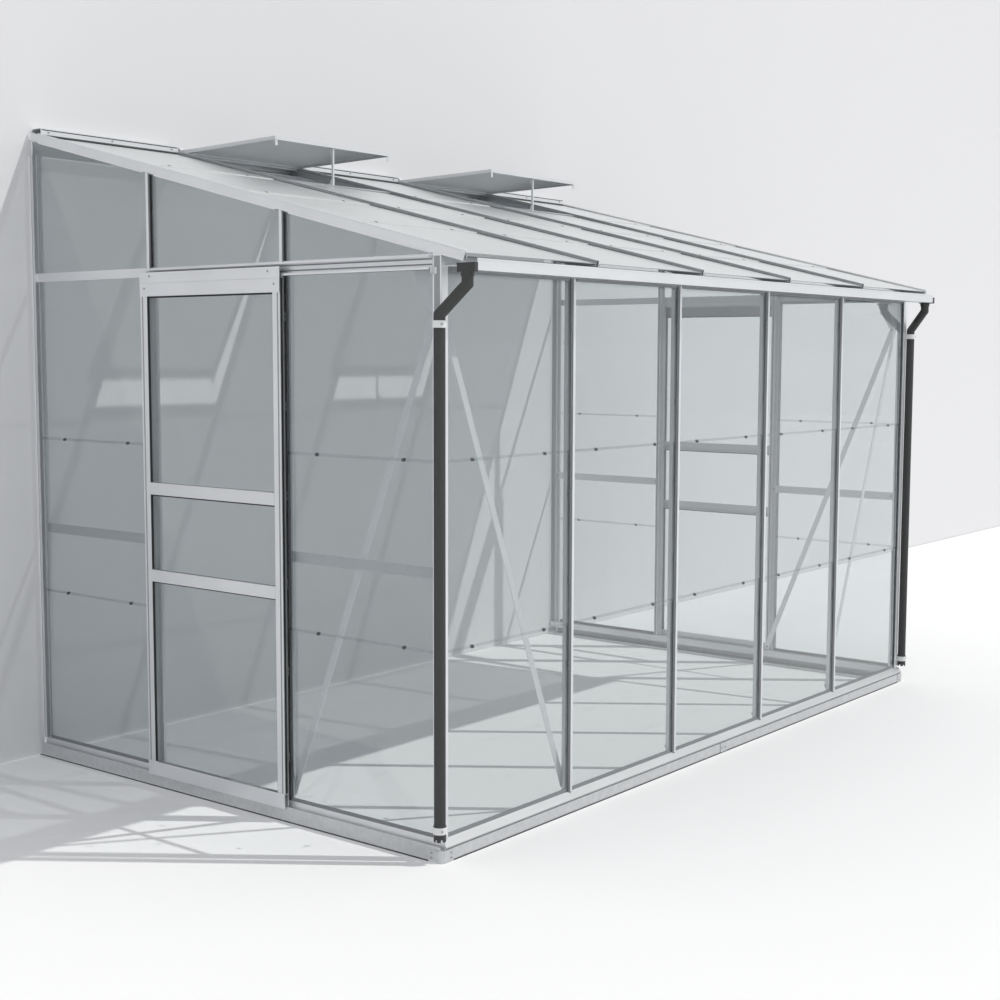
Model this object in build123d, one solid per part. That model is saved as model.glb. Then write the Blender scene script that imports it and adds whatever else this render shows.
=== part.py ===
import os
from math import atan2, cos, pi, sin, tan

from build123d import *

# Lean-to greenhouse, all lengths in millimetres.
# X runs along the long front, Y from the front to the house wall, Z up from the ground.
# "out" is measured outwards from the plane the glass beds on.

# Layout
BAY = 745.0
FRONT_BAYS = 5
GABLE_BAYS = 3
VENT_BAYS = (1, 3)
WALL_ROWS = 3
LOW_ROOF_ROWS = 3
PANE_PITCH = 652.0
EAVE_RISE = 56.5
ROOF_RISE = 553.5
ROOF_OVERHANG = 115.0
OVERRUN = 10.0
HALF_SHARE = 0.5

# Glazing bar: a hollow rib outside the glass, a flange under each pane, a bolt slot along the inside
RIB_WIDTH = 14.0
RIB_HEIGHT = 18.0
RIB_BEVEL = 1.5
BAR_WALL = 2.0
FLANGE_SIDE = 16.0
FLANGE_THICK = 2.5
BAR_DEPTH = 25.0
BOLT_SLOT = 6.0

# Glass
GLASS = 3.0
LAP = 10.0
LAP_CLEAR = 0.5
EDGE_CLEAR = 3.0
PANE_CLEAR = 1.0

# Base and sill
BASE_TOP = 44.0
BASE_OUT = 34.0
BASE_IN = 24.0
FOOT_INSET = 6.0
BASE_FOOT = 4.0
BASE_WALL = 3.0
CORNER_ROUND = 18.0
FIN_THICK = 2.5
FIN_HEIGHT = 14.0
SILL_HEIGHT = 32.0
SILL_OUT = 9.0
SIDE_SILL_FOOT = 16.0
FRONT_SILL_FOOT = 28.0
FRONT_SILL_NECK = 8.0
FRONT_DRIP_OUT = 37.0
FRONT_DRIP = 3.0
SILL_WALL = 2.5
SILL_FOOT_WALL = 3.75
CLEAT_LEG = 60.0
CLEAT_THICK = 2.5
JOINT_PLATE = 46.0

# Posts
POST_OUT = 14.0
POST_IN = 22.0
POST_WALL = 3.0
POST_ROUND = 4.0
TUBE_WALL = 2.5
WALL_BACK = 20.0
WALL_FLANGE = 40.0
WALL_HOLE_RADIUS = 4.0
WALL_HOLE_IN = 31.0
WALL_HOLE_LIFT = 424.0
WALL_HOLE_SPACING = 1400.0

# Gable head, stiffeners, braces
HEAD_HEIGHT = 36.0
HEAD_DEEP = 10.0
HEAD_WALL = 2.5
STIFFENER_LIFT = 916.0
STIFFENER_HEIGHT = 40.0
STIFFENER_DEEP = 10.0
STIFFENER_THICK = 3.0
BRACE_WIDTH = 28.0
BRACE_THICK = 3.0
BRACE_DROP = 165.0
BRACE_TOP_SIDE = 46.0
BRACE_LIFT = 24.0
GUSSET_LEG = 110.0
GUSSET_DROP = 165.0
GUSSET_TIP = 34.0
GUSSET_THICK = 3.0

# Eave and gutter
EAVE_WALL = 3.0
GUTTER_BACK = 86.0
GUTTER_OUT = 161.0
GUTTER_DROP = 24.0
GUTTER_HEIGHT = 40.0
GUTTER_BACK_HEIGHT = 32.0
GUTTER_WALL = 2.5
GUTTER_LIP = 6.0
GUTTER_LIP_OUT = 1.5
GUTTER_LIP_IN = 5.0
TRAY_RISE = 17.0

# Rain pipes
CAP_THICK = 16.0
CAP_UNDER = 4.0
CAP_HEIGHT = 30.0
CAP_LIP = 6.0
CAP_LIP_OVER = 2.0
CAP_OVER = 2.0
SPIGOT_SIDE = 30.5
SPIGOT_RADIUS = 23.0
SPIGOT_DROP = 18.0
PIPE_RADIUS = 20.0
PIPE_WALL = 2.5
PIPE_FLUTES = 24
FLUTE_DEPTH = 0.8
PIPE_SIDE = 37.0
PIPE_FRONT = 27.0
PIPE_BEND_DROP = 25.0
PIPE_BEND_HEIGHT = 100.0
PIPE_GAP = 6.0
COLLAR_OVER = 3.0
COLLAR_HEIGHT = 8.0
SHOE_OVER = 1.5
SHOE_NOTCHES = 3
SHOE_NOTCH_WIDTH = 8.0
SHOE_NOTCH_HEIGHT = 9.0
CLIP_WALL = 4.0
CLIP_HEIGHT = 24.0
CLIP_CLEAR = 0.2
CLIP_DROP = 31.0
CLIP_LIFT = 39.0
CLIP_TAB_START = 5.0
CLIP_TAB_WIDTH = 8.0

# Ridge
RIDGE_OVER = 29.0
RIDGE_FRONT = 35.0
RIDGE_WALL = 2.5
PLATE_THICK = 3.0
PLATE_DROP = 82.0
LEDGE = 60.0
RIDGE_HOLE_BAYS = 2
RIDGE_HOLE_LIFT = 25.0
HINGE_THICK = 6.7
RIB_CLEAR = 0.5

# Verge
VERGE_WEB = 6.0
VERGE_STEM = 15.0
VERGE_DROP = 22.0
VERGE_RISE = 10.0
VERGE_IN = 14.0
VERGE_OUT = 15.0
VERGE_LIP = 3.0

# Roof vents
VENT_RUN = 620.0
VENT_RISE = 15.0
VENT_BAR = 25.0
VENT_THICK = 16.0
VENT_SEAT = 8.0
VENT_CLEAR = 2.0
VENT_SILL = 30.0
VENT_SILL_THICK = 9.0
PROP = 9.0

# Sliding doors
DOOR_LAP = 20.0
RUN_CLEAR = 5.0
DOOR_DEPTH = 18.0
DOOR_PLATE = 3.0
DOOR_GAP = 7.0
DOOR_RAIL = 56.0
STILE_WIDTH = 40.0
STILE_WALL = 2.5
STILE_BOX = 28.0
STILE_BACK = 36.0
PANE_BED = 2.0
EDGE_SLOT = 6.0
STILE_GAP = 7.0
MID_RAIL_LIFTS = (785.0, 1131.0)
MID_RAIL = 47.0
MID_RAIL_DEPTH = 18.0
RAIL_WALL = 3.0
HEAD_PLATE = 92.0
HEAD_PLATE_OVER = 33.0
HEAD_CREASE = 50.0
CREASE_DEPTH = 1.2

# Door track and rollers
TRACK_DROP = 17.0
TRACK_HEIGHT = 47.0
TRACK_DEEP = 22.0
TRACK_WALL = 2.5
TRACK_FLOOR = 3.0
TRACK_EDGE = 8.0
TRACK_TOP_LIP = 6.0
TRACK_RIB = 1.5
TRACK_RIB_LIFT = 24.0
TRACK_RIB_HEIGHT = 5.0
TRACK_START = 24.0
RAIL_HEIGHT = 3.5
RAIL_WIDTH = 3.0
ROLLER_RADIUS = 14.0
ROLLER_BACK = 5.0
ROLLER_WIDTH = 8.0
ROLLER_GROOVE = 3.0
ROLLER_FLANGE = 2.0
ROLLER_SEAT = 0.3
ROLLER_INSET = 60.0
AXLE_RADIUS = 3.0

# Derived positions
LENGTH = FRONT_BAYS * BAY
DEPTH = GABLE_BAYS * BAY
REACH = LENGTH + DEPTH
LEFT = -LENGTH / 2
RIGHT = LENGTH / 2
FRONT = (GUTTER_OUT - DEPTH - WALL_BACK) / 2
WALL_LINE = FRONT + DEPTH
WALL = WALL_LINE + WALL_BACK
SILL_TOP = BASE_TOP + SILL_HEIGHT
HEAD_BOTTOM = SILL_TOP + WALL_ROWS * PANE_PITCH
HEAD_TOP = HEAD_BOTTOM + HEAD_HEIGHT
ROOF_AT_FRONT = HEAD_BOTTOM + EAVE_RISE
ROOF_AT_WALL = ROOF_AT_FRONT + ROOF_RISE
PITCH = atan2(ROOF_RISE, DEPTH)
RIB = RIB_WIDTH / 2
SHINGLE = GLASS + LAP_CLEAR
GLASS_SIDE = RIB + EDGE_CLEAR
GUTTER_BOTTOM = HEAD_BOTTOM - GUTTER_DROP
SPIGOT_OUT = GUTTER_BACK + SPIGOT_SIDE
SPIGOT_BOTTOM = GUTTER_BOTTOM - SPIGOT_DROP
PIPE_BEND_TOP = SPIGOT_BOTTOM - PIPE_BEND_DROP
PIPE_BEND_FOOT = PIPE_BEND_TOP - PIPE_BEND_HEIGHT
PIPE_FOOT = SILL_TOP + PIPE_GAP
TOP_CLIP = PIPE_BEND_FOOT - CLIP_DROP
LOW_CLIP = PIPE_FOOT + CLIP_LIFT
RIDGE_FACE = WALL_LINE - RIDGE_FRONT
VENT_FOOT = DEPTH - RIDGE_FRONT - VENT_RUN
RIDGE_TOP = ROOF_AT_WALL + RIDGE_OVER
PLATE_BOTTOM = ROOF_AT_WALL - PLATE_DROP
TRACK_BOTTOM = HEAD_BOTTOM - TRACK_DROP
TRACK_TOP = TRACK_BOTTOM + TRACK_HEIGHT
TRACK_OUT = HEAD_DEEP + TRACK_DEEP
DOOR_BAY = GABLE_BAYS // 2
DOOR_START = FRONT + DOOR_BAY * BAY - DOOR_LAP
DOOR_END = FRONT + (DOOR_BAY + 1) * BAY + DOOR_LAP
DOOR_IN = RIB_HEIGHT + RUN_CLEAR
DOOR_FACE = DOOR_IN + DOOR_DEPTH
DOOR_OUT = DOOR_FACE + DOOR_PLATE
DOOR_BOTTOM = BASE_TOP + DOOR_GAP
DOOR_RAIL_TOP = DOOR_BOTTOM + DOOR_RAIL
DOOR_STILE_TOP = TRACK_BOTTOM - STILE_GAP
FIN_TOP = BASE_TOP + FIN_HEIGHT
TRAY_BOTTOM = GUTTER_BOTTOM + TRAY_RISE
HINGE_TOP = ROOF_AT_FRONT + (DEPTH - RIDGE_FRONT) * tan(PITCH) + HINGE_THICK
ROLLER_OUT = HEAD_DEEP + ROLLER_BACK

nodes = {}


def bar_x(index):
    return LEFT + index * BAY


def bar_y(index):
    return FRONT + index * BAY


def face(points):
    return make_face(Polyline(*points, close=True).edges())


def along_x(points, start, end):
    """Prism of a (y, z) outline between two x positions."""
    return extrude(Plane.YZ.offset(start) * face(points), end - start)


def along_y(points, start, end):
    """Prism of an (x, z) outline between two y positions."""
    return extrude(Plane.XZ.offset(-end) * face(points), end - start)


def along_z(points, start, end):
    """Prism of an (x, y) outline between two heights."""
    return extrude(Plane.XY.offset(start) * face(points), end - start)


def block(x_span, y_span, z_span):
    low_x, high_x = x_span
    low_y, high_y = y_span
    return along_z(((low_x, low_y), (high_x, low_y), (high_x, high_y), (low_x, high_y)), *z_span)


def area(low_u, high_u, low_v, high_v):
    return Pos((low_u + high_u) / 2, (low_v + high_v) / 2) * Rectangle(high_u - low_u, high_v - low_v)


def front_points(points):
    """Turn (out, z) of the front wall into (y, z)."""
    return [(FRONT - out, z) for out, z in points]


def side_points(points):
    """Turn (out, z) of the left gable into (x, z)."""
    return [(LEFT - out, z) for out, z in points]


def side_block(out_span, y_span, z_span):
    return block((LEFT - out_span[1], LEFT - out_span[0]), y_span, z_span)


def on_roof(along, above):
    """(y, z) of a point given along the slope from the front wall and above the roof's glass bed."""
    y = FRONT + along * cos(PITCH) - above * sin(PITCH)
    z = ROOF_AT_FRONT + along * sin(PITCH) + above * cos(PITCH)
    return y, z


def roof_z(y, above):
    return ROOF_AT_FRONT + (y - FRONT) * tan(PITCH) + above / cos(PITCH)


def both(shape):
    return shape.solids() + mirror(shape, about=Plane.YZ).solids()


def node(name, *shapes):
    nodes[name] = [solid for shape in shapes for solid in shape.solids()]


def pair(name, *shapes):
    nodes[name] = [solid for shape in shapes for solid in both(shape)]


def bar_section():
    """Outline of a glazing bar as (across, out): rib, glass flanges and the bolt slot on the inside."""
    hollow = RIB - BAR_WALL
    slot = BOLT_SLOT / 2
    right = [
        (RIB - RIB_BEVEL, RIB_HEIGHT), (RIB, RIB_HEIGHT - RIB_BEVEL), (RIB, 0), (RIB + FLANGE_SIDE, 0),
        (RIB + FLANGE_SIDE, -FLANGE_THICK), (RIB, -FLANGE_THICK), (RIB, -BAR_DEPTH), (slot, -BAR_DEPTH),
        (slot, BAR_WALL - BAR_DEPTH), (hollow, BAR_WALL - BAR_DEPTH), (hollow, RIB_HEIGHT - BAR_WALL),
    ]
    return right + [(-across, out) for across, out in reversed(right)]


def under_roof(above, start=FRONT - BAY, end=WALL):
    """Everything below a plane parallel to the roof, for trimming upright pieces."""
    outline = ((start, 0), (end, 0), (end, roof_z(end, above)), (start, roof_z(start, above)))
    return along_x(outline, -REACH, REACH)


def base_section(with_fin):
    """Outline of the base channel as (out, z), with the fin that guides the doors where one is wanted."""
    inner = BASE_OUT - BASE_WALL
    foot = BASE_OUT - FOOT_INSET
    outline = [(-BASE_IN, 0), (foot, 0), (foot, BASE_FOOT), (BASE_OUT, BASE_FOOT)]
    if with_fin:
        outline += [(BASE_OUT, FIN_TOP), (BASE_OUT - FIN_THICK, FIN_TOP), (BASE_OUT - FIN_THICK, BASE_TOP)]
    else:
        outline += [(BASE_OUT, BASE_TOP)]
    outline += [
        (-BASE_IN, BASE_TOP), (-BASE_IN, BASE_TOP - BASE_WALL), (inner, BASE_TOP - BASE_WALL),
        (inner, BASE_FOOT + BASE_WALL), (-BASE_IN, BASE_FOOT + BASE_WALL),
    ]
    return outline


def sill_section(outer, foot):
    """Sloped sill as (out, z): an outer edge, a flat top under the glass and a hollow below."""
    return outer + [
        (SILL_OUT, SILL_TOP), (-BASE_IN, SILL_TOP), (-BASE_IN, BASE_TOP),
        (SILL_WALL - BASE_IN, BASE_TOP), (SILL_WALL - BASE_IN, SILL_TOP - SILL_WALL),
        (SILL_OUT - SILL_WALL, SILL_TOP - SILL_WALL), (foot - SILL_FOOT_WALL, BASE_TOP),
    ]


def mitre(front_foot, side_foot, keep_front):
    """Front and side lengths meet on a plane through the outer foot and the inner edge of both."""
    inner = (LEFT + BASE_IN, FRONT + BASE_IN)
    run = (-side_foot - BASE_IN, -front_foot - BASE_IN)
    share = DEPTH / abs(run[1])
    far_out = (inner[0] + share * run[0], inner[1] + share * run[1])
    if keep_front:
        outline = (far_out, (-far_out[0], far_out[1]), (-inner[0], inner[1]), inner)
    else:
        outline = (far_out, inner, (inner[0], WALL), (far_out[0], WALL))
    return along_z(outline, 0, SILL_TOP)


def corner_plan(out, radius, low, high):
    """Prism over the whole plan, a given way out of the glass, with its two front corners rounded."""
    plan = area(LEFT - out, RIGHT + out, FRONT - out, WALL)
    return extrude(Plane.XY.offset(low) * fillet(plan.vertices().group_by(Axis.Y)[0], radius), high - low)


def build_base():
    ends = LENGTH / 2 + BASE_OUT
    rounded = corner_plan(BASE_OUT - FOOT_INSET, CORNER_ROUND - FOOT_INSET, 0, BASE_FOOT)
    rounded += corner_plan(BASE_OUT, CORNER_ROUND, BASE_FOOT, FIN_TOP)
    front = along_x(front_points(base_section(False)), -ends, ends)
    node("base_front", front & mitre(BASE_OUT, BASE_OUT, True) & rounded)
    side = along_y(side_points(base_section(True)), FRONT - BASE_OUT, WALL)
    pair("base_sides", side & mitre(BASE_OUT, BASE_OUT, False) & rounded)
    neck = BASE_TOP + FRONT_SILL_NECK
    drip = [
        (FRONT_SILL_FOOT, BASE_TOP), (FRONT_SILL_FOOT, neck), (FRONT_DRIP_OUT, neck),
        (FRONT_DRIP_OUT, neck + FRONT_DRIP),
    ]
    front_sill = along_x(front_points(sill_section(drip, FRONT_SILL_FOOT)), -ends, ends)
    node("front_sill", front_sill & mitre(FRONT_DRIP_OUT, SIDE_SILL_FOOT, True))
    side_sill = along_y(
        side_points(sill_section([(SIDE_SILL_FOOT, BASE_TOP)], SIDE_SILL_FOOT)), FRONT - BASE_OUT, WALL
    )
    pair("side_sills", side_sill & mitre(FRONT_DRIP_OUT, SIDE_SILL_FOOT, False))
    outer = BASE_OUT + CLEAT_THICK
    cleat = corner_plan(outer, CORNER_ROUND + CLEAT_THICK, 0, BASE_TOP)
    cleat -= corner_plan(BASE_OUT, CORNER_ROUND, 0, BASE_TOP)
    leg = CLEAT_LEG - BASE_OUT
    cleat = cleat & block((LEFT - REACH, LEFT + leg), (FRONT - REACH, FRONT + leg), (0, BASE_TOP))
    joint_y = (FRONT - outer, FRONT - BASE_OUT)
    joint = block((-JOINT_PLATE / 2, JOINT_PLATE / 2), joint_y, (BASE_FOOT, BASE_TOP))
    node("base_cleats", joint, *both(cleat))


def build_posts():
    def span(low_out, high_out, low_front, high_front):
        return area(LEFT - high_out, LEFT - low_out, FRONT - high_front, FRONT - low_front)

    cap = POST_OUT - POST_WALL
    section = span(-POST_IN, POST_OUT, cap, POST_OUT) + span(cap, POST_OUT, -POST_IN, POST_OUT)
    section += span(-TUBE_WALL, cap, -TUBE_WALL, cap)
    section += span(-POST_IN, 0, -POST_IN, 0)
    section -= span(TUBE_WALL - POST_IN, -TUBE_WALL, TUBE_WALL - POST_IN, -TUBE_WALL)
    corner = min(section.vertices(), key=lambda vertex: vertex.X + vertex.Y)
    section = fillet(corner, POST_ROUND)
    post = extrude(Plane.XY.offset(SILL_TOP) * section, ROOF_AT_FRONT - SILL_TOP)
    pair("corner_posts", post & under_roof(-VERGE_DROP))

    def back(low_out, high_out, low_y, high_y):
        return area(LEFT - high_out, LEFT - low_out, WALL_LINE + low_y, WALL_LINE + high_y)

    section = back(-FLANGE_THICK, 0, -RIB - FLANGE_SIDE, WALL_BACK)
    section += back(-WALL_FLANGE, POST_OUT, WALL_BACK - PLATE_THICK, WALL_BACK)
    section += back(0, RIB_HEIGHT, -RIB, RIB)
    section -= back(BAR_WALL, RIB_HEIGHT - BAR_WALL, BAR_WALL - RIB, RIB - BAR_WALL)
    section += back(-BAR_DEPTH, 0, -RIB, BAR_WALL - RIB)
    post = extrude(Plane.XY.offset(SILL_TOP) * section, PLATE_BOTTOM - SILL_TOP)
    for height in (WALL_HOLE_LIFT, WALL_HOLE_LIFT + WALL_HOLE_SPACING):
        hole = Cylinder(WALL_HOLE_RADIUS, PLATE_THICK + OVERRUN, rotation=(90, 0, 0))
        post -= Pos(LEFT + WALL_HOLE_IN, WALL, SILL_TOP + height) * hole
    pair("wall_posts", post)


def build_bars():
    outline = bar_section()
    rib_out = RIB_HEIGHT + OVERRUN
    front = []
    rib_y = (FRONT - rib_out, FRONT - HEAD_DEEP)
    rib_top = (TRAY_BOTTOM - RIB_CLEAR, HEAD_BOTTOM)
    for i in range(1, FRONT_BAYS):
        bar = along_z([(bar_x(i) + across, FRONT - out) for across, out in outline], SILL_TOP, HEAD_BOTTOM)
        front.append(bar - block((bar_x(i) - RIB, bar_x(i) + RIB), rib_y, rib_top))
    node("front_bars", *front)
    gable = []
    rib_room = side_block((0, rib_out), (FRONT, WALL), (SILL_TOP, RIDGE_TOP))
    rib_room -= under_roof(-VERGE_DROP - RIB_CLEAR)
    track_span = (TRACK_BOTTOM - PANE_CLEAR, TRACK_TOP + PANE_CLEAR)
    track_room = side_block((HEAD_DEEP, rib_out), (FRONT, WALL), track_span)
    for j in range(1, GABLE_BAYS):
        points = [(LEFT - out, bar_y(j) + across) for across, out in outline]
        bar = along_z(points, SILL_TOP, ROOF_AT_WALL) & under_roof(-VERGE_STEM)
        gable.append(bar - rib_room - track_room)
    pair("gable_bars", *gable)
    channel = side_points([
        (0, HEAD_BOTTOM), (HEAD_DEEP, HEAD_BOTTOM), (HEAD_DEEP, HEAD_TOP), (0, HEAD_TOP),
        (0, HEAD_TOP - HEAD_WALL), (HEAD_DEEP - HEAD_WALL, HEAD_TOP - HEAD_WALL),
        (HEAD_DEEP - HEAD_WALL, HEAD_BOTTOM + HEAD_WALL), (0, HEAD_BOTTOM + HEAD_WALL),
    ])
    heads = [along_y(channel, bar_y(j) + RIB, bar_y(j + 1) - RIB) for j in range(GABLE_BAYS)]
    pair("head_bars", *heads)
    stiffeners = []
    low = SILL_TOP + STIFFENER_LIFT - STIFFENER_HEIGHT / 2
    deep = (-STIFFENER_DEEP - STIFFENER_THICK, -STIFFENER_DEEP)
    for j in range(GABLE_BAYS):
        if j == DOOR_BAY:
            continue
        y_span = (bar_y(j) + (POST_IN if j == 0 else RIB), bar_y(j + 1) - RIB)
        stiffeners.append(side_block(deep, y_span, (low, low + STIFFENER_HEIGHT)))
    pair("gable_stiffeners", *stiffeners)


def strip(low, high, width):
    """A flat bar of a given width with round ends about two points."""
    run = (high[0] - low[0], high[1] - low[1])
    size = (run[0] ** 2 + run[1] ** 2) ** 0.5
    side = (-run[1] / size * width / 2, run[0] / size * width / 2)
    flat = face([
        (low[0] + side[0], low[1] + side[1]), (low[0] - side[0], low[1] - side[1]),
        (high[0] - side[0], high[1] - side[1]), (high[0] + side[0], high[1] + side[1]),
    ])
    return flat + Pos(*low) * Circle(width / 2) + Pos(*high) * Circle(width / 2)


def build_braces():
    """Diagonal flats inside the two walls at each front corner, with a gusset at the top."""
    foot = SILL_TOP + BRACE_LIFT
    top = HEAD_BOTTOM - BRACE_DROP
    line = strip((bar_x(1), foot), (LEFT + BRACE_TOP_SIDE, top), BRACE_WIDTH)
    front = extrude(Plane.XZ.offset(-FRONT - BAR_DEPTH - BRACE_THICK) * line, BRACE_THICK)
    line = strip((bar_y(1), foot), (FRONT + BRACE_TOP_SIDE, top), BRACE_WIDTH)
    side = extrude(Plane.YZ.offset(LEFT + BAR_DEPTH) * line, BRACE_THICK)
    pair("braces", front, side)

    def gusset(corner):
        low = HEAD_BOTTOM - GUSSET_DROP
        return [
            (corner, low), (corner + GUSSET_TIP, low), (corner + GUSSET_LEG, HEAD_BOTTOM - GUSSET_TIP),
            (corner + GUSSET_LEG, HEAD_BOTTOM), (corner, HEAD_BOTTOM),
        ]

    back = BAR_DEPTH - GUSSET_THICK
    front = along_y(gusset(LEFT + POST_IN), FRONT + back, FRONT + BAR_DEPTH)
    side = along_x(gusset(FRONT + BAR_DEPTH), LEFT + back, LEFT + BAR_DEPTH)
    pair("gussets", front, side)


def build_eave():
    def top(out):
        return roof_z(FRONT - out, -BAR_DEPTH)

    outline = [
        (-POST_IN, HEAD_BOTTOM), (POST_OUT, HEAD_BOTTOM), (POST_OUT, top(POST_OUT)),
        (-POST_IN, top(-POST_IN)), (-POST_IN, top(-POST_IN) - EAVE_WALL),
        (POST_OUT - EAVE_WALL, top(POST_OUT) - EAVE_WALL),
        (POST_OUT - EAVE_WALL, HEAD_BOTTOM + EAVE_WALL), (-POST_IN, HEAD_BOTTOM + EAVE_WALL),
    ]
    node("eave_beam", along_x(front_points(outline), LEFT + POST_IN, RIGHT - POST_IN))
    gutter_top = GUTTER_BOTTOM + GUTTER_HEIGHT
    back_top = GUTTER_BOTTOM + GUTTER_BACK_HEIGHT
    floor = GUTTER_BOTTOM + GUTTER_WALL
    tray = TRAY_BOTTOM + GUTTER_WALL
    outer = GUTTER_OUT - GUTTER_LIP_OUT
    lip_foot = gutter_top - GUTTER_LIP
    gutter = [
        (POST_OUT, back_top), (POST_OUT, TRAY_BOTTOM), (GUTTER_BACK, TRAY_BOTTOM),
        (GUTTER_BACK, GUTTER_BOTTOM), (outer, GUTTER_BOTTOM), (outer, lip_foot), (GUTTER_OUT, lip_foot),
        (GUTTER_OUT, gutter_top),
        (GUTTER_OUT - GUTTER_LIP_IN, gutter_top), (GUTTER_OUT - GUTTER_LIP_IN, gutter_top - GUTTER_WALL),
        (outer - GUTTER_WALL, gutter_top - GUTTER_WALL), (outer - GUTTER_WALL, floor),
        (GUTTER_BACK + GUTTER_WALL, floor), (GUTTER_BACK + GUTTER_WALL, back_top), (GUTTER_BACK, back_top),
        (GUTTER_BACK, tray), (POST_OUT + GUTTER_WALL, tray), (POST_OUT + GUTTER_WALL, back_top),
    ]
    node("gutter", along_x(front_points(gutter), LEFT, RIGHT))


def upright(radius, low, high):
    return extrude(Plane.XY.offset(low) * Circle(radius), high - low)


def fluted(radius):
    """Star outline of the rain pipe, with shallow flutes round it."""
    points = []
    for step in range(PIPE_FLUTES):
        for turn, reach in ((step, radius), (step + HALF_SHARE, radius - FLUTE_DEPTH)):
            angle = 2 * pi * turn / PIPE_FLUTES
            points.append((reach * cos(angle), reach * sin(angle)))
    return face(points)


def build_drainage():
    cap_bottom = GUTTER_BOTTOM - CAP_UNDER
    cap_top = cap_bottom + CAP_HEIGHT
    cap_y = (FRONT - GUTTER_OUT, FRONT - GUTTER_BACK + CAP_OVER)
    outlet = block((LEFT - CAP_THICK, LEFT), cap_y, (cap_bottom, cap_top))
    outlet += block((LEFT - CAP_THICK - CAP_LIP_OVER, LEFT), cap_y, (cap_top - CAP_LIP, cap_top))
    top = (LEFT, FRONT - SPIGOT_OUT)
    outlet += Pos(*top) * upright(SPIGOT_RADIUS, SPIGOT_BOTTOM, GUTTER_BOTTOM)
    pair("gutter_outlets", outlet)

    foot = (LEFT - PIPE_SIDE, FRONT - PIPE_FRONT)
    bend = ((*top, PIPE_BEND_TOP), (*foot, PIPE_BEND_FOOT))
    path = Polyline((*top, SPIGOT_BOTTOM), *bend, (*foot, PIPE_FOOT))
    start = Plane(origin=(*top, SPIGOT_BOTTOM), z_dir=(0, 0, -1))
    bore = PIPE_RADIUS - PIPE_WALL
    pipe = sweep(start * fluted(PIPE_RADIUS), path=path, transition=Transition.RIGHT)
    clip_top = LOW_CLIP + CLIP_HEIGHT / 2 + CLIP_CLEAR
    clip_foot = LOW_CLIP - CLIP_HEIGHT / 2 - CLIP_CLEAR
    flare = Cone(PIPE_RADIUS + COLLAR_OVER, PIPE_RADIUS, COLLAR_HEIGHT)
    pipe += Pos(*foot, clip_top + COLLAR_HEIGHT / 2) * flare
    pipe += Pos(*foot) * upright(PIPE_RADIUS + SHOE_OVER, PIPE_FOOT, clip_foot)
    pipe -= sweep(start * Circle(bore), path=path, transition=Transition.RIGHT)
    for turn in range(SHOE_NOTCHES):
        cut = Box(PIPE_RADIUS + OVERRUN + PIPE_RADIUS + OVERRUN, SHOE_NOTCH_WIDTH, SHOE_NOTCH_HEIGHT)
        pipe -= Pos(*foot, PIPE_FOOT + SHOE_NOTCH_HEIGHT / 2) * Rot(0, 0, 180 * turn / SHOE_NOTCHES) * cut
    pair("downpipes", pipe)

    clips = []
    reach = PIPE_SIDE - POST_OUT
    tab_mid = PIPE_FRONT - CLIP_TAB_START - CLIP_TAB_WIDTH / 2
    for height in (TOP_CLIP, LOW_CLIP):
        ring = Cylinder(PIPE_RADIUS + CLIP_WALL, CLIP_HEIGHT)
        tab = Pos(reach / 2, tab_mid) * Box(reach, CLIP_TAB_WIDTH, CLIP_HEIGHT)
        clip = ring + tab - Cylinder(PIPE_RADIUS + CLIP_CLEAR, CLIP_HEIGHT + OVERRUN)
        clips.append(Pos(*foot, height) * clip)
    pair("pipe_clips", *clips)


def build_ridge():
    back = WALL - PLATE_THICK
    ledge = back - LEDGE
    plate_top = RIDGE_TOP - RIDGE_WALL
    under = -BAR_DEPTH - PLATE_THICK
    plate = [
        (WALL, PLATE_BOTTOM), (back, PLATE_BOTTOM), (back, roof_z(back, under)),
        (ledge, roof_z(ledge, under)), (ledge, roof_z(ledge, -BAR_DEPTH)),
        (back, roof_z(back, -BAR_DEPTH)), (back, plate_top), (WALL, plate_top),
    ]
    ridge = along_x(plate, LEFT, RIGHT)
    for side in (-1, 1):
        hole = Cylinder(WALL_HOLE_RADIUS, PLATE_THICK + OVERRUN, rotation=(90, 0, 0))
        ridge -= Pos(side * RIDGE_HOLE_BAYS * BAY / 2, WALL, PLATE_BOTTOM + RIDGE_HOLE_LIFT) * hole
    node("ridge_plate", ridge)
    inner = RIDGE_FACE + RIDGE_WALL
    hood = [
        (RIDGE_FACE, roof_z(RIDGE_FACE, RIB_CLEAR)), (inner, roof_z(inner, RIB_CLEAR)), (inner, plate_top),
        (WALL, plate_top), (WALL, RIDGE_TOP), (RIDGE_FACE, RIDGE_TOP),
    ]
    hinge = [
        (RIDGE_FACE, roof_z(RIDGE_FACE, 0)), (back, roof_z(back, 0)), (back, roof_z(back, 0) + HINGE_THICK),
        (RIDGE_FACE, HINGE_TOP),
    ]
    covers = []
    hinges = []
    for i in range(FRONT_BAYS):
        start = bar_x(i) + RIB + RIB_CLEAR
        end = bar_x(i + 1) - RIB - RIB_CLEAR
        if i in VENT_BAYS:
            hinges.append(along_x(hinge, start, end))
        else:
            covers.append(along_x(hood, start, end))
    node("ridge_covers", *covers)
    node("vent_hinge_rails", *hinges)


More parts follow.
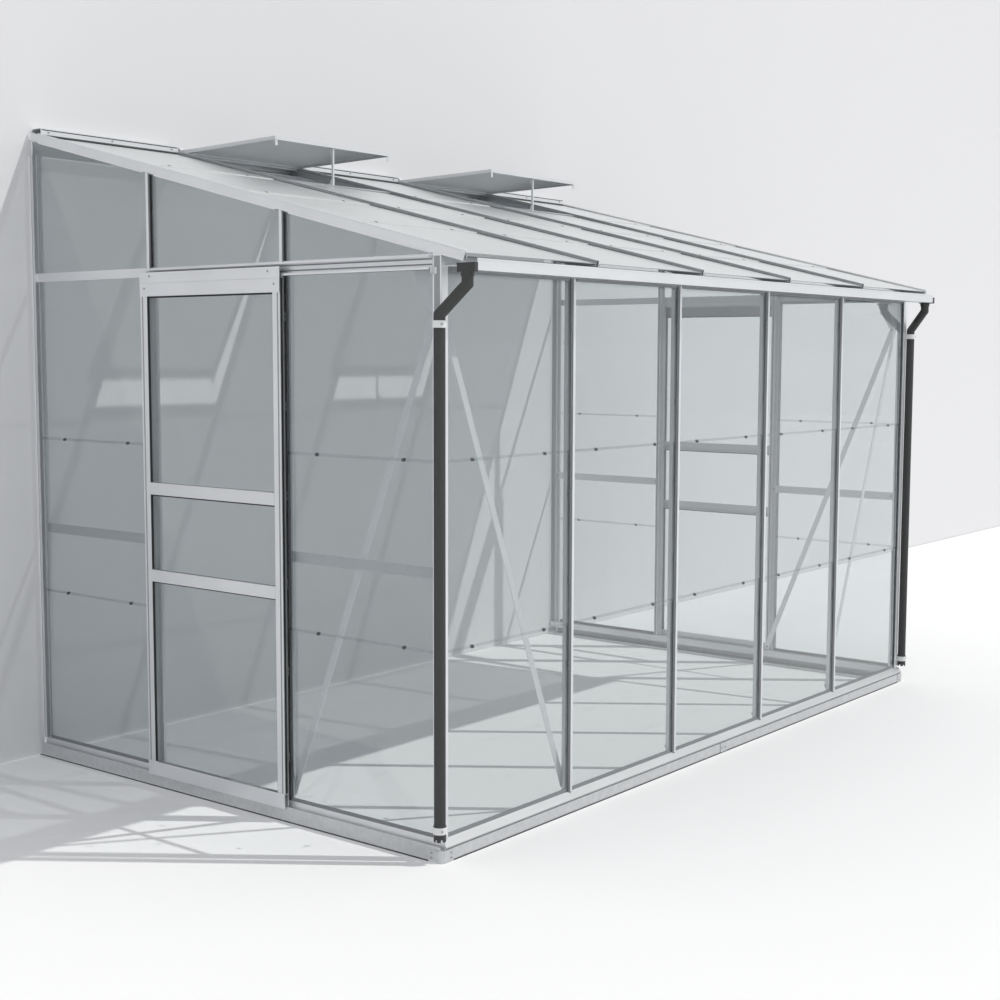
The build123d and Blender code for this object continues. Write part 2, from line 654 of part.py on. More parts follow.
def slope_bar(points, x):
    """Bar of an (across, above) outline laid along the roof at x, trimmed upright at the wall."""
    top = DEPTH / cos(PITCH) + BAY
    low = -ROOF_OVERHANG / cos(PITCH)
    y, z = on_roof(top, 0)
    plane = Plane(origin=(x, y, z), x_dir=(1, 0, 0), z_dir=(0, -cos(PITCH), -sin(PITCH)))
    bar = extrude(plane * face(points), top - low)
    return bar & block((-REACH, REACH), (-REACH, WALL - PLATE_THICK), (0, REACH))


def build_roof_bars():
    node("roof_bars", *[slope_bar(bar_section(), bar_x(i)) for i in range(1, FRONT_BAYS)])
    web = VERGE_WEB / 2
    lip = VERGE_LIP - VERGE_OUT
    verge = [
        (VERGE_IN, 0), (VERGE_IN, -FLANGE_THICK), (web, -FLANGE_THICK), (web, -VERGE_STEM),
        (-web, -VERGE_STEM), (-web, -FLANGE_THICK), (lip, -FLANGE_THICK), (lip, -VERGE_DROP),
        (-VERGE_OUT, -VERGE_DROP), (-VERGE_OUT, VERGE_RISE), (lip, VERGE_RISE), (lip, 0),
    ]
    pair("verge_bars", slope_bar(verge, LEFT))


def roof_pane(low, high, start, end, lift=SHINGLE):
    outline = [on_roof(low, lift), on_roof(high, 0), on_roof(high, GLASS), on_roof(low, lift + GLASS)]
    return along_x(outline, start, end)


def wall_row(row):
    low = SILL_TOP + row * PANE_PITCH - (LAP if row else 0)
    high = SILL_TOP + (row + 1) * PANE_PITCH
    return [(SHINGLE, low), (0, high), (GLASS, high), (SHINGLE + GLASS, low)]


def build_glass():
    """Each pane leans out at its foot over the head of the pane below, like a slate."""
    panes = []
    for i in range(FRONT_BAYS):
        start = bar_x(i) + GLASS_SIDE
        end = bar_x(i + 1) - GLASS_SIDE
        panes += [along_x(front_points(wall_row(row)), start, end) for row in range(WALL_ROWS)]
    node("front_glass", *panes)
    panes = []
    for j in range(GABLE_BAYS):
        start = bar_y(j) + GLASS_SIDE
        end = bar_y(j + 1) - GLASS_SIDE
        if j != DOOR_BAY:
            panes += [along_y(side_points(wall_row(row)), start, end) for row in range(WALL_ROWS)]
        tops = (roof_z(start, -VERGE_STEM - PANE_CLEAR), roof_z(end, -VERGE_STEM - PANE_CLEAR))
        outline = ((start, HEAD_TOP), (end, HEAD_TOP), (end, tops[1]), (start, tops[0]))
        panes.append(along_x(outline, LEFT - GLASS, LEFT))
    pair("gable_glass", *panes)
    low = -ROOF_OVERHANG / cos(PITCH)
    split = VENT_FOOT / cos(PITCH)
    top = (DEPTH - RIDGE_FRONT) / cos(PITCH) - PANE_CLEAR
    pitch = (split - low) / LOW_ROOF_ROWS
    panes = []
    for i in range(FRONT_BAYS):
        start = bar_x(i) + GLASS_SIDE
        end = bar_x(i + 1) - GLASS_SIDE
        if i == 0:
            start = LEFT - VERGE_OUT + VERGE_LIP + EDGE_CLEAR
        if i == FRONT_BAYS - 1:
            end = RIGHT + VERGE_OUT - VERGE_LIP - EDGE_CLEAR
        for row in range(LOW_ROOF_ROWS):
            foot = low + row * pitch - (LAP if row else 0)
            panes.append(roof_pane(foot, low + (row + 1) * pitch, start, end))
        if i not in VENT_BAYS:
            panes.append(roof_pane(split - LAP, top, start, end))
    node("roof_glass", *panes)


def build_vents():
    tilt = atan2(VENT_RISE, VENT_RUN)
    length = VENT_RUN / cos(tilt)

    def on_vent(along, above):
        """(y, z) from the hinge edge out towards the free edge and up from the underside."""
        y = RIDGE_FACE - along * cos(tilt) + above * sin(tilt)
        return y, HINGE_TOP + along * sin(tilt) + above * cos(tilt)

    def slab(low, high, under, over, start, end):
        outline = [on_vent(low, under), on_vent(high, under), on_vent(high, over), on_vent(low, over)]
        return along_x(outline, start, end)

    split = VENT_FOOT / cos(PITCH) + PANE_CLEAR
    inset = (VENT_THICK - GLASS) / 2
    seat = VENT_BAR - VENT_SEAT
    rails = []
    stiles = []
    glass = []
    props = []
    sills = []
    for i in VENT_BAYS:
        start = bar_x(i) + RIB + VENT_CLEAR
        end = bar_x(i + 1) - RIB - VENT_CLEAR
        middle = (start + end) / 2
        pane = slab(seat, length - seat, inset, inset + GLASS, start + seat, end - seat)
        glass.append(pane)
        rails.append(slab(0, VENT_BAR, 0, VENT_THICK, start, end) - pane)
        rails.append(slab(length - VENT_BAR, length, 0, VENT_THICK, start, end) - pane)
        for low_x, high_x in ((start, start + VENT_BAR), (end - VENT_BAR, end)):
            stiles.append(slab(VENT_BAR, length - VENT_BAR, 0, VENT_THICK, low_x, high_x) - pane)
        outline = [
            on_roof(split, 0), on_roof(split + VENT_SILL, 0),
            on_roof(split + VENT_SILL, VENT_SILL_THICK), on_roof(split, VENT_SILL_THICK),
        ]
        sills.append(along_x(outline, bar_x(i) + RIB, bar_x(i + 1) - RIB))
        near, _ = on_vent(length - VENT_BAR / 2, 0)
        feet = [(near - PROP / 2), (near + PROP / 2)]
        tops = [HINGE_TOP + (RIDGE_FACE - y) * tan(tilt) for y in feet]
        stand = [roof_z(y, VENT_SILL_THICK) for y in feet]
        outline = [(feet[0], stand[0]), (feet[1], stand[1]), (feet[1], tops[1]), (feet[0], tops[0])]
        props.append(along_x(outline, middle - PROP / 2, middle + PROP / 2))
    node("vent_rails", *rails)
    node("vent_stiles", *stiles)
    node("vent_glass", *glass)
    node("vent_props", *props)
    node("vent_sills", *sills)


def build_tracks():
    """A C-shaped track over the doorway, with the raised rail the rollers run on."""
    wall = HEAD_DEEP + TRACK_WALL
    edge = TRACK_OUT - TRACK_WALL
    floor = TRACK_BOTTOM + TRACK_FLOOR
    rail = floor + RAIL_HEIGHT
    rail_mid = ROLLER_OUT + ROLLER_WIDTH / 2
    rail_span = (rail_mid - RAIL_WIDTH / 2, rail_mid + RAIL_WIDTH / 2)
    rib = TRACK_BOTTOM + TRACK_RIB_LIFT
    top_lip = TRACK_TOP - TRACK_TOP_LIP
    outline = [
        (HEAD_DEEP, TRACK_BOTTOM), (TRACK_OUT, TRACK_BOTTOM), (TRACK_OUT, TRACK_BOTTOM + TRACK_EDGE),
        (edge, TRACK_BOTTOM + TRACK_EDGE), (edge, floor), (rail_span[1], floor), (rail_span[1], rail),
        (rail_span[0], rail), (rail_span[0], floor), (wall, floor), (wall, rib), (wall + TRACK_RIB, rib),
        (wall + TRACK_RIB, rib + TRACK_RIB_HEIGHT), (wall, rib + TRACK_RIB_HEIGHT),
        (wall, TRACK_TOP - TRACK_WALL), (edge, TRACK_TOP - TRACK_WALL), (edge, top_lip),
        (TRACK_OUT, top_lip), (TRACK_OUT, TRACK_TOP), (HEAD_DEEP, TRACK_TOP),
    ]
    pair("door_tracks", along_y(side_points(outline), FRONT + TRACK_START, DOOR_END))


def stile_section(edge, inward):
    """Door stile in plan: a hollow box behind a wider face, with an open groove along the door's edge."""
    def span(low, high, low_out, high_out):
        low_y, high_y = sorted((edge + inward * low, edge + inward * high))
        return area(LEFT - high_out, LEFT - low_out, low_y, high_y)

    section = span(0, STILE_WIDTH, DOOR_FACE - STILE_WALL, DOOR_FACE)
    section += span(0, STILE_BACK, DOOR_IN, DOOR_IN + STILE_WALL)
    section += span(EDGE_SLOT, EDGE_SLOT + STILE_WALL, DOOR_IN, DOOR_FACE)
    section += span(STILE_BOX - STILE_WALL, STILE_BOX, DOOR_IN, DOOR_FACE)
    return section


def roller(y):
    """Grooved wheel and its axle as one turned piece, hung from the door's head plate."""
    centre_z = TRACK_BOTTOM + TRACK_FLOOR + RAIL_HEIGHT + ROLLER_SEAT + ROLLER_RADIUS - ROLLER_GROOVE
    groove = ROLLER_RADIUS - ROLLER_GROOVE
    outline = [
        (0, 0), (ROLLER_RADIUS, 0), (ROLLER_RADIUS, ROLLER_FLANGE), (groove, ROLLER_FLANGE),
        (groove, ROLLER_WIDTH - ROLLER_FLANGE), (ROLLER_RADIUS, ROLLER_WIDTH - ROLLER_FLANGE),
        (ROLLER_RADIUS, ROLLER_WIDTH), (AXLE_RADIUS, ROLLER_WIDTH), (AXLE_RADIUS, DOOR_FACE - ROLLER_OUT),
        (0, DOOR_FACE - ROLLER_OUT),
    ]
    origin = (LEFT - ROLLER_OUT, y, centre_z)
    plane = Plane(origin=origin, x_dir=(0, 0, 1), z_dir=(0, -1, 0))
    return revolve(plane * face(outline), Axis(origin, (-1, 0, 0)))


def build_doors():
    inner = (DOOR_START + STILE_WIDTH, DOOR_END - STILE_WIDTH)
    stiles = []
    for edge, inward in ((DOOR_START, 1), (DOOR_END, -1)):
        section = stile_section(edge, inward)
        stiles.append(extrude(Plane.XY.offset(DOOR_RAIL_TOP) * section, DOOR_STILE_TOP - DOOR_RAIL_TOP))
    under = DOOR_RAIL_TOP - RAIL_WALL
    bottom = [
        (DOOR_IN, DOOR_BOTTOM), (DOOR_IN + RAIL_WALL, DOOR_BOTTOM), (DOOR_IN + RAIL_WALL, under),
        (DOOR_OUT - RAIL_WALL, under), (DOOR_OUT - RAIL_WALL, DOOR_BOTTOM), (DOOR_OUT, DOOR_BOTTOM),
        (DOOR_OUT, DOOR_RAIL_TOP), (DOOR_IN, DOOR_RAIL_TOP),
    ]
    rails = [along_y(side_points(bottom), DOOR_START, DOOR_END)]
    edges = [DOOR_RAIL_TOP]
    back = DOOR_OUT - MID_RAIL_DEPTH
    for lift in MID_RAIL_LIFTS:
        low = DOOR_BOTTOM + lift
        high = low + MID_RAIL
        channel = [
            (back, low), (DOOR_OUT, low), (DOOR_OUT, high), (back, high), (back, high - RAIL_WALL),
            (DOOR_OUT - RAIL_WALL, high - RAIL_WALL), (DOOR_OUT - RAIL_WALL, low + RAIL_WALL),
            (back, low + RAIL_WALL),
        ]
        rails.append(along_y(side_points(channel), *inner))
        edges += [low, high]
    edges.append(DOOR_STILE_TOP)
    head_top = TRACK_BOTTOM + HEAD_PLATE_OVER
    head_foot = head_top - HEAD_PLATE
    crease = head_foot + HEAD_CREASE
    plate = [
        (DOOR_FACE, head_foot), (DOOR_OUT, head_foot), (DOOR_OUT, crease - CREASE_DEPTH),
        (DOOR_OUT - CREASE_DEPTH, crease), (DOOR_OUT, crease + CREASE_DEPTH), (DOOR_OUT, head_top),
        (DOOR_FACE, head_top),
    ]
    head = along_y(side_points(plate), DOOR_START, DOOR_END)
    bed = DOOR_IN + STILE_WALL + PANE_BED
    glass_out = (bed, bed + GLASS)
    glass_y = (DOOR_START + STILE_BOX + PANE_CLEAR, DOOR_END - STILE_BOX - PANE_CLEAR)
    panes = [side_block(glass_out, glass_y, span) for span in zip(edges[0::2], edges[1::2])]
    rollers = [roller(DOOR_START + ROLLER_INSET), roller(DOOR_END - ROLLER_INSET)]
    pieces = {"stiles": stiles, "rails": rails, "head": [head], "glass": panes, "rollers": rollers}
    for name, shapes in pieces.items():
        node("left_door_" + name, *shapes)
        node("right_door_" + name, *[mirror(shape, about=Plane.YZ) for shape in shapes])


build_base()
build_posts()
build_bars()
build_braces()
build_eave()
build_drainage()
build_ridge()
build_roof_bars()
build_glass()
build_vents()
build_tracks()
build_doors()

os.makedirs("parts", exist_ok=True)
for name, solids in nodes.items():
    shape = solids[0] if len(solids) == 1 else Compound(children=solids)
    export_step(shape, "parts/" + name + ".step")
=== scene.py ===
from math import cos, pi, sin

import bmesh
import bpy
from mathutils import Matrix, Vector


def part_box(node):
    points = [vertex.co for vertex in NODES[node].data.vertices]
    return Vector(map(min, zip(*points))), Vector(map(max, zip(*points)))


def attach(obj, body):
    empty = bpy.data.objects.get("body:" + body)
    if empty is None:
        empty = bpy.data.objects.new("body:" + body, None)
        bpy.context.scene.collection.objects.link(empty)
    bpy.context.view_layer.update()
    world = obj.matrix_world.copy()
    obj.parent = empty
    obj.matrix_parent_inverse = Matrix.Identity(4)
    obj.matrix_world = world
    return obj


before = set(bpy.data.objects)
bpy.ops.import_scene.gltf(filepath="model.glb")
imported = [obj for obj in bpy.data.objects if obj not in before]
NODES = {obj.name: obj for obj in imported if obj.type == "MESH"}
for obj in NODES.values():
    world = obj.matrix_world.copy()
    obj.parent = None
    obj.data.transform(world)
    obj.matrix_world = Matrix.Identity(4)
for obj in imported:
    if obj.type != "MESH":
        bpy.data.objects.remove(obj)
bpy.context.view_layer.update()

MM = 0.001
X, Y, UP = Vector((1, 0, 0)), Vector((0, 1, 0)), Vector((0, 0, 1))

# Where the CAD model carries things. Places are read from the frame, sections are repeated in millimetres.
FRONT_BAYS = 5
GABLE_BAYS = 3
DOOR_BAY = 1
VENT_BAYS = (1, 3)
FIXED_BAYS = [j for j in range(GABLE_BAYS) if j != DOOR_BAY]
COVERED_BAYS = [i for i in range(FRONT_BAYS) if i not in VENT_BAYS]
INNER_BARS = range(1, FRONT_BAYS)
WALL_ROWS = 3
ROOF_ROWS = 3
LEFT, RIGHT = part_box("gutter")[0].x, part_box("gutter")[1].x
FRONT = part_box("front_glass")[1].y
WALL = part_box("ridge_plate")[1].y
SILL_TOP, HEAD_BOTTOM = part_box("front_glass")[0].z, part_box("front_glass")[1].z
HEAD_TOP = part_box("head_bars")[1].z
BAY = -2 * LEFT / FRONT_BAYS
PANE_PITCH = (HEAD_BOTTOM - SILL_TOP) / WALL_ROWS
FLANGE = 23 * MM  # half the width of a bar's flange

# The roof: its line over the front glass, its slope, and where its panes start and end up the slope.
EAVE_RISE = 56.5 * MM
ROOF_RISE = 553.5 * MM
ROOF_RUN = GABLE_BAYS * BAY
OVERHANG = 115 * MM
VENT_RUN = 1580 * MM
RIDGE_DEPTH = 36 * MM
ROOF_AT_FRONT = HEAD_BOTTOM + EAVE_RISE
SLOPE = Vector((0, ROOF_RUN, ROOF_RISE)).normalized()
ROOF_UP = Vector((0, -SLOPE.z, SLOPE.y))
ROOF_FOOT = -OVERHANG / SLOPE.y
VENT_FOOT = VENT_RUN / SLOPE.y
ROOF_TOP = (ROOF_RUN - RIDGE_DEPTH) / SLOPE.y


# Materials.

COLOURS = {"data_type": "RGBA"}
MIXED = 2  # the colour output of a Mix node
NOISE_LOW, NOISE_HIGH = 0.3, 0.7  # most of a noise lies between these


def linear(hexcode):
    """sRGB hex to the linear colour a shader socket wants."""
    channels = [int(hexcode[i:i + 2], 16) / 255 for i in (1, 3, 5)]
    return [c / 12.92 if c <= 0.04045 else ((c + 0.055) / 1.055) ** 2.4 for c in channels] + [1.0]


def toned(hexcode, factor):
    """The linear colour made darker or lighter by a factor."""
    return [min(c * factor, 1.0) for c in linear(hexcode)[:3]] + [1.0]


def add(tree, kind, settings=None, **inputs):
    """Adds one node with its settings. Each input is set, or linked where it is given as (node, output).
    An input called i6 is the one numbered 6, for nodes on which several inputs share a name."""
    made = tree.nodes.new(kind)
    for name, value in (settings or {}).items():
        setattr(made, name, value)
    for name, value in inputs.items():
        numbered = name[0] == "i" and name[1:].isdigit()
        socket = made.inputs[int(name[1:]) if numbered else name.replace("_", " ")]
        if isinstance(value, tuple) and isinstance(value[0], bpy.types.Node):
            tree.links.new(value[0].outputs[value[1]], socket)
        else:
            socket.default_value = value
    return made


def new_material(name):
    made = bpy.data.materials.new(name)
    made.use_nodes = True
    made.node_tree.nodes.clear()
    return made, made.node_tree


def finish_surface(tree, shader, output="BSDF"):
    add(tree, "ShaderNodeOutputMaterial", Surface=(shader, output))


def stretched(tree, run, across, along):
    """Coordinates whose unit is `across` millimetres, drawn out to `along` millimetres on the run's axes."""
    place = add(tree, "ShaderNodeTexCoord")
    scale = [1 / (across * MM)] * 3
    for axis in run:
        scale["XYZ".index(axis)] = 1 / (along * MM)
    return add(tree, "ShaderNodeMapping", Vector=(place, "Object"), Scale=scale)


def mill_finish_aluminium(name, run, base="#DFE1E3"):
    """Extruded aluminium left as it came from the die: satin grey, with faint die lines along the run
    and cloudy patches of oxide a hand wide. The die lines are about 0.5 mm apart, drawn at 3 mm to show."""
    made, tree = new_material("mill_finish_aluminium_" + name)
    die_run = stretched(tree, run, across=3, along=900)
    oxide_run = stretched(tree, run, across=90, along=260)
    lines = add(tree, "ShaderNodeTexNoise", Scale=1.0, Detail=2.0, Vector=(die_run, "Vector"))
    cloud = add(tree, "ShaderNodeTexNoise", Scale=1.0, Detail=3.0, Vector=(oxide_run, "Vector"))
    tone = add(tree, "ShaderNodeMix", COLOURS, i0=(cloud, "Fac"), i6=toned(base, 0.9), i7=toned(base, 1.08))
    rough = add(tree, "ShaderNodeMapRange", Value=(lines, "Fac"),
                From_Min=NOISE_LOW, From_Max=NOISE_HIGH, To_Min=0.38, To_Max=0.5)
    bump = add(tree, "ShaderNodeBump", Strength=0.12, Distance=0.4 * MM, Height=(lines, "Fac"))
    skin = add(tree, "ShaderNodeBsdfPrincipled", Metallic=0.75, Base_Color=(tone, MIXED),
               Roughness=(rough, "Result"), Normal=(bump, "Normal"))
    finish_surface(tree, skin)
    return made


def rolled_flat_aluminium(name, low, high, metallic):
    """Rolled flat bar and plate: a softer shine than the extrusions have, with a fine even grain, drawn at
    12 mm to show."""
    made, tree = new_material("rolled_flat_aluminium_" + name)
    rolled = stretched(tree, "", across=12, along=12)
    grain = add(tree, "ShaderNodeTexNoise", Scale=1.0, Detail=4.0, Vector=(rolled, "Vector"))
    tone = add(tree, "ShaderNodeMix", COLOURS, i0=(grain, "Fac"), i6=linear(low), i7=linear(high))
    bump = add(tree, "ShaderNodeBump", Strength=0.1, Distance=0.3 * MM, Height=(grain, "Fac"))
    skin = add(tree, "ShaderNodeBsdfPrincipled", Metallic=metallic, Roughness=0.45,
               Base_Color=(tone, MIXED), Normal=(bump, "Normal"))
    finish_surface(tree, skin)
    return made


def dulled_aluminium():
    """Base channels that stand on the ground: aluminium darker and less shiny than the frame's, with stains a
    thumb wide.
    """
    made, tree = new_material("dulled_aluminium")
    spread = stretched(tree, "", across=22, along=22)
    stain = add(tree, "ShaderNodeTexVoronoi", Scale=1.0, Vector=(spread, "Vector"))
    tone = add(tree, "ShaderNodeMix", COLOURS, i0=(stain, "Distance"),
               i6=linear("#C0C2C4"), i7=linear("#CCCED0"))
    skin = add(tree, "ShaderNodeBsdfPrincipled", Metallic=0.45, Roughness=0.48, Base_Color=(tone, MIXED))
    finish_surface(tree, skin)
    return made


def pane(name, tint, sun_tint, sky_tint, mirror_tint, film_colour, film, faces, rough):
    """A flat pane: light goes straight through, a film in patches two hands wide scatters some, and it
    mirrors at a slant as much as the given number of faces would. The sun's beam, the sky's spread light
    and what metal mirrors each get through in a share of their own."""
    made, tree = new_material(name)
    dusting = stretched(tree, "", across=240, along=240)
    patches = add(tree, "ShaderNodeTexNoise", Scale=1.0, Detail=2.0, Vector=(dusting, "Vector"))
    amount = add(tree, "ShaderNodeMapRange", Value=(patches, "Fac"),
                 From_Min=NOISE_LOW, From_Max=NOISE_HIGH, To_Min=film * 0.9, To_Max=film * 1.1)
    clear = add(tree, "ShaderNodeBsdfTransparent", Color=linear(tint))
    haze = add(tree, "ShaderNodeBsdfDiffuse", Color=linear(film_colour))
    body = add(tree, "ShaderNodeMixShader", i0=(amount, "Result"), i1=(clear, "BSDF"), i2=(haze, "BSDF"))
    slant = add(tree, "ShaderNodeFresnel", IOR=1.5)
    side = add(tree, "ShaderNodeNewGeometry")
    outer = add(tree, "ShaderNodeMapRange", Value=(side, "Backfacing"), To_Min=faces, To_Max=0.0)
    mirror = add(tree, "ShaderNodeMath", {"operation": "MULTIPLY", "use_clamp": True},
                 i0=(slant, "Fac"), i1=(outer, "Result"))
    shine = add(tree, "ShaderNodeBsdfGlossy", Color=linear("#F6F8F8"), Roughness=rough)
    seen = add(tree, "ShaderNodeMixShader", i0=(mirror, "Value"), i1=(body, "Shader"), i2=(shine, "BSDF"))
    ray = add(tree, "ShaderNodeLightPath")
    mirror_part = add(tree, "ShaderNodeBsdfTransparent", Color=linear(mirror_tint))
    in_metal = add(tree, "ShaderNodeMixShader", i0=(ray, "Is Glossy Ray"), i1=(seen, "Shader"),
                   i2=(mirror_part, "BSDF"))
    sky_part = add(tree, "ShaderNodeBsdfTransparent", Color=linear(sky_tint))
    dimmed = add(tree, "ShaderNodeMixShader", i0=(amount, "Result"), i1=(sky_part, "BSDF"), i2=(haze, "BSDF"))
    under_sky = add(tree, "ShaderNodeMixShader", i0=(ray, "Is Diffuse Ray"), i1=(in_metal, "Shader"),
                    i2=(dimmed, "Shader"))
    sun_part = add(tree, "ShaderNodeBsdfTransparent", Color=linear(sun_tint))
    skin = add(tree, "ShaderNodeMixShader", i0=(ray, "Is Shadow Ray"), i1=(under_sky, "Shader"),
               i2=(sun_part, "BSDF"))
    finish_surface(tree, skin, "Shader")
    return made


def float_glass():
    """Clear float glass: a faint cool cast, sharp reflections and hardly any dust."""
    return pane("float_glass", tint="#F5F7F7", sun_tint="#FBFCFC", sky_tint="#E9EBEC", mirror_tint="#B4B7B9",
                film_colour="#C9CED1", film=0.03, faces=1.8, rough=0.02)


def rolled_glass():
    """Horticultural glass, rolled with one rough face: it scatters much of the light, looks milky from above
    and shades what lies under it."""
    return pane("rolled_glass", tint="#C4C8C9", sun_tint="#AEB0B1", sky_tint="#B9BCBD", mirror_tint="#A8ACAE",
                film_colour="#E6E8E9", film=0.5, faces=1.1, rough=0.3)


def moulded_plastic(name, base, rough, grain_mm, lift):
    """Moulded or extruded PVC, nylon and rubber: even colour, soft sheen, and a fine texture from the tool,
    drawn at a few millimetres to show."""
    made, tree = new_material(name)
    tooled = stretched(tree, "", across=grain_mm, along=grain_mm)
    grain = add(tree, "ShaderNodeTexNoise", Scale=1.0, Detail=3.0, Vector=(tooled, "Vector"))
    tone = add(tree, "ShaderNodeMix", COLOURS, i0=(grain, "Fac"), i6=toned(base, 0.85), i7=toned(base, 1.15))
    bump = add(tree, "ShaderNodeBump", Strength=lift, Distance=0.3 * MM, Height=(grain, "Fac"))
    skin = add(tree, "ShaderNodeBsdfPrincipled", Roughness=rough, Base_Color=(tone, MIXED),
               Normal=(bump, "Normal"))
    finish_surface(tree, skin)
    return made


def zinc_plated_steel():
    """Bright zinc on steel fixings and spring wire: a sharper shine than the frame's, with 2 mm spangles."""
    made, tree = new_material("zinc_plated_steel")
    plated = stretched(tree, "", across=2, along=2)
    spangle = add(tree, "ShaderNodeTexVoronoi", Scale=1.0, Vector=(plated, "Vector"))
    tone = add(tree, "ShaderNodeMix", COLOURS, i0=(spangle, "Distance"),
               i6=linear("#8E9194"), i7=linear("#C9CBCD"))
    skin = add(tree, "ShaderNodeBsdfPrincipled", Metallic=1.0, Roughness=0.32, Base_Color=(tone, MIXED))
    finish_surface(tree, skin)
    return made


def spring_steel():
    """Folded stainless strip: dark and glossy, with a fine rolling grain, drawn at 4 mm to show."""
    made, tree = new_material("spring_steel")
    rolled = stretched(tree, "", across=4, along=4)
    grain = add(tree, "ShaderNodeTexNoise", Scale=1.0, Detail=2.0, Vector=(rolled, "Vector"))
    tone = add(tree, "ShaderNodeMix", COLOURS, i0=(grain, "Fac"), i6=linear("#4A4D4F"), i7=linear("#6A6D70"))
    skin = add(tree, "ShaderNodeBsdfPrincipled", Metallic=0.8, Roughness=0.3, Base_Color=(tone, MIXED))
    finish_surface(tree, skin)
    return made


ALONG_X = mill_finish_aluminium("lengthwise", "X")
ALONG_Y = mill_finish_aluminium("crosswise", "YZ")
UPRIGHT = mill_finish_aluminium("upright", "Z")
# The roof bars' aluminium gets a darker base: painted shade for the shaded sides of the bars.
ROOF_BAR = mill_finish_aluminium("roof_bar_painted_shade", "YZ", "#BBBEC0")
# The front sill's aluminium gets a darker base: painted shade, standing in for less sun on its sloped face.
SILL_FACE = mill_finish_aluminium("sill_painted_shade", "X", "#C3C5C7")
FLAT = rolled_flat_aluminium("plain", "#D2D5D7", "#E0E2E4", metallic=0.3)
# A lighter, less metallic copy of the flat aluminium for braces and gussets: painted light, so they read
# light where they stand in shade.
LIGHTENED_FLAT = rolled_flat_aluminium("bright", "#E6E8E9", "#F2F3F4", metallic=0.15)
DULLED = dulled_aluminium()
WALL_GLASS = float_glass()
ROOF_GLASS = rolled_glass()
BLACK_PVC = moulded_plastic("black_moulded_pvc", "#2F3030", rough=0.45, grain_mm=3, lift=0.1)
PALE_PVC = moulded_plastic("pale_bead_pvc", "#E4E6E7", rough=0.5, grain_mm=4, lift=0.1)
GREY_PVC = moulded_plastic("grey_moulded_pvc", "#DCDEDE", rough=0.5, grain_mm=3, lift=0.1)
NYLON = moulded_plastic("black_nylon", "#262626", rough=0.4, grain_mm=2, lift=0.05)
BEAD_PVC = moulded_plastic("grey_bead_pvc", "#7F8386", rough=0.5, grain_mm=4, lift=0.1)
# A darker grey PVC: painted shade where it is used, on the roof strips beside the bars' shaded sides and on
# the strips of the corner posts and door stiles.
SHADE_GREY_PVC = moulded_plastic("grey_pvc_painted_shade", "#929597", rough=0.6, grain_mm=4, lift=0.1)
STRIP_RUBBER = moulded_plastic("black_glazing_rubber", "#2B2D2E", rough=0.6, grain_mm=4, lift=0.2)
ZINC = zinc_plated_steel()
STEEL_CLIP = spring_steel()

FINISHES = {
    ALONG_X: (
        "eave_beam", "gutter", "ridge_plate", "ridge_covers", "vent_hinge_rails", "vent_sills", "vent_rails",
    ),
    ALONG_Y: (
        "side_sills", "head_bars", "door_tracks", "verge_bars", "vent_stiles",
        "left_door_rails", "right_door_rails", "left_door_head", "right_door_head",
    ),
    ROOF_BAR: ("roof_bars",),
    SILL_FACE: ("front_sill",),
    UPRIGHT: (
        "corner_posts", "wall_posts", "front_bars", "gable_bars", "left_door_stiles", "right_door_stiles",
    ),
    DULLED: ("base_front", "base_sides", "base_cleats"),
    FLAT: ("gable_stiffeners", "vent_props"),
    LIGHTENED_FLAT: ("braces", "gussets"),
    WALL_GLASS: ("front_glass", "gable_glass", "left_door_glass", "right_door_glass"),
    ROOF_GLASS: ("roof_glass", "vent_glass"),
    BLACK_PVC: ("downpipes", "gutter_outlets"),
    GREY_PVC: ("pipe_clips",),
    NYLON: ("left_door_rollers", "right_door_rollers"),
}
for finish, names in FINISHES.items():
    for name in names:
        mesh = NODES[name].data
        mesh.materials.clear()
        mesh.materials.append(finish)


# Mesh work. Every piece is gathered in one mesh from sweeps and turned shapes.

MITRE_LIMIT = 0.5  # a mitre widens the outline to twice its width at most


def sweep(bm, outline, path, across, up):
    """Runs a closed (across, up) outline along a path, with its corners mitred."""
    rings = []
    last = len(path) - 1
    hand = 1 if (path[1] - path[0]).cross(across).dot(up) > 0 else -1
    for i, point in enumerate(path):
        before = (point - path[i - 1]).normalized() if i else (path[1] - path[0]).normalized()
        after = (path[i + 1] - point).normalized() if i < last else before
        ahead = (before + after).normalized()
        wide = (across - ahead * across.dot(ahead)).normalized()
        tall = ahead.cross(wide) * hand
        stretch = 1 / max(ahead.dot(after), MITRE_LIMIT)
        turn = after - before
        over = abs(turn.dot(tall)) > abs(turn.dot(wide))
        grow = (1, stretch) if over else (stretch, 1)
        rings.append([bm.verts.new(point + wide * (u * grow[0]) + tall * (v * grow[1])) for u, v in outline])
    close_rings(bm, rings)


def turned(bm, profile, place, axis, sides):
    """Lathe-turned shape from (radius, height) pairs in millimetres, standing on `place` along `axis`."""
    axis = axis.normalized()
    wide = axis.orthogonal().normalized()
    other = axis.cross(wide)
    spokes = [wide * c + other * s for c, s in circle(1, sides)]
    rings = []
    for radius, height in profile:
        centre = place + axis * (height * MM)
        rings.append([bm.verts.new(centre + spoke * (radius * MM)) for spoke in spokes])
    close_rings(bm, rings)


def close_rings(bm, rings):
    """Joins each ring of points to the next and closes both ends."""
    count = len(rings[0])
    for low, high in zip(rings, rings[1:]):
        for k in range(count):
            bm.faces.new((low[k], low[(k + 1) % count], high[(k + 1) % count], high[k]))
    bm.faces.new(list(reversed(rings[0])))
    bm.faces.new(rings[-1])


def mirrored(bm):
    """Adds the right-hand copy of everything gathered so far for the left half."""
    copied = bmesh.ops.duplicate(bm, geom=bm.verts[:] + bm.edges[:] + bm.faces[:])["geom"]
    for vert in [g for g in copied if isinstance(g, bmesh.types.BMVert)]:
        vert.co.x = -vert.co.x


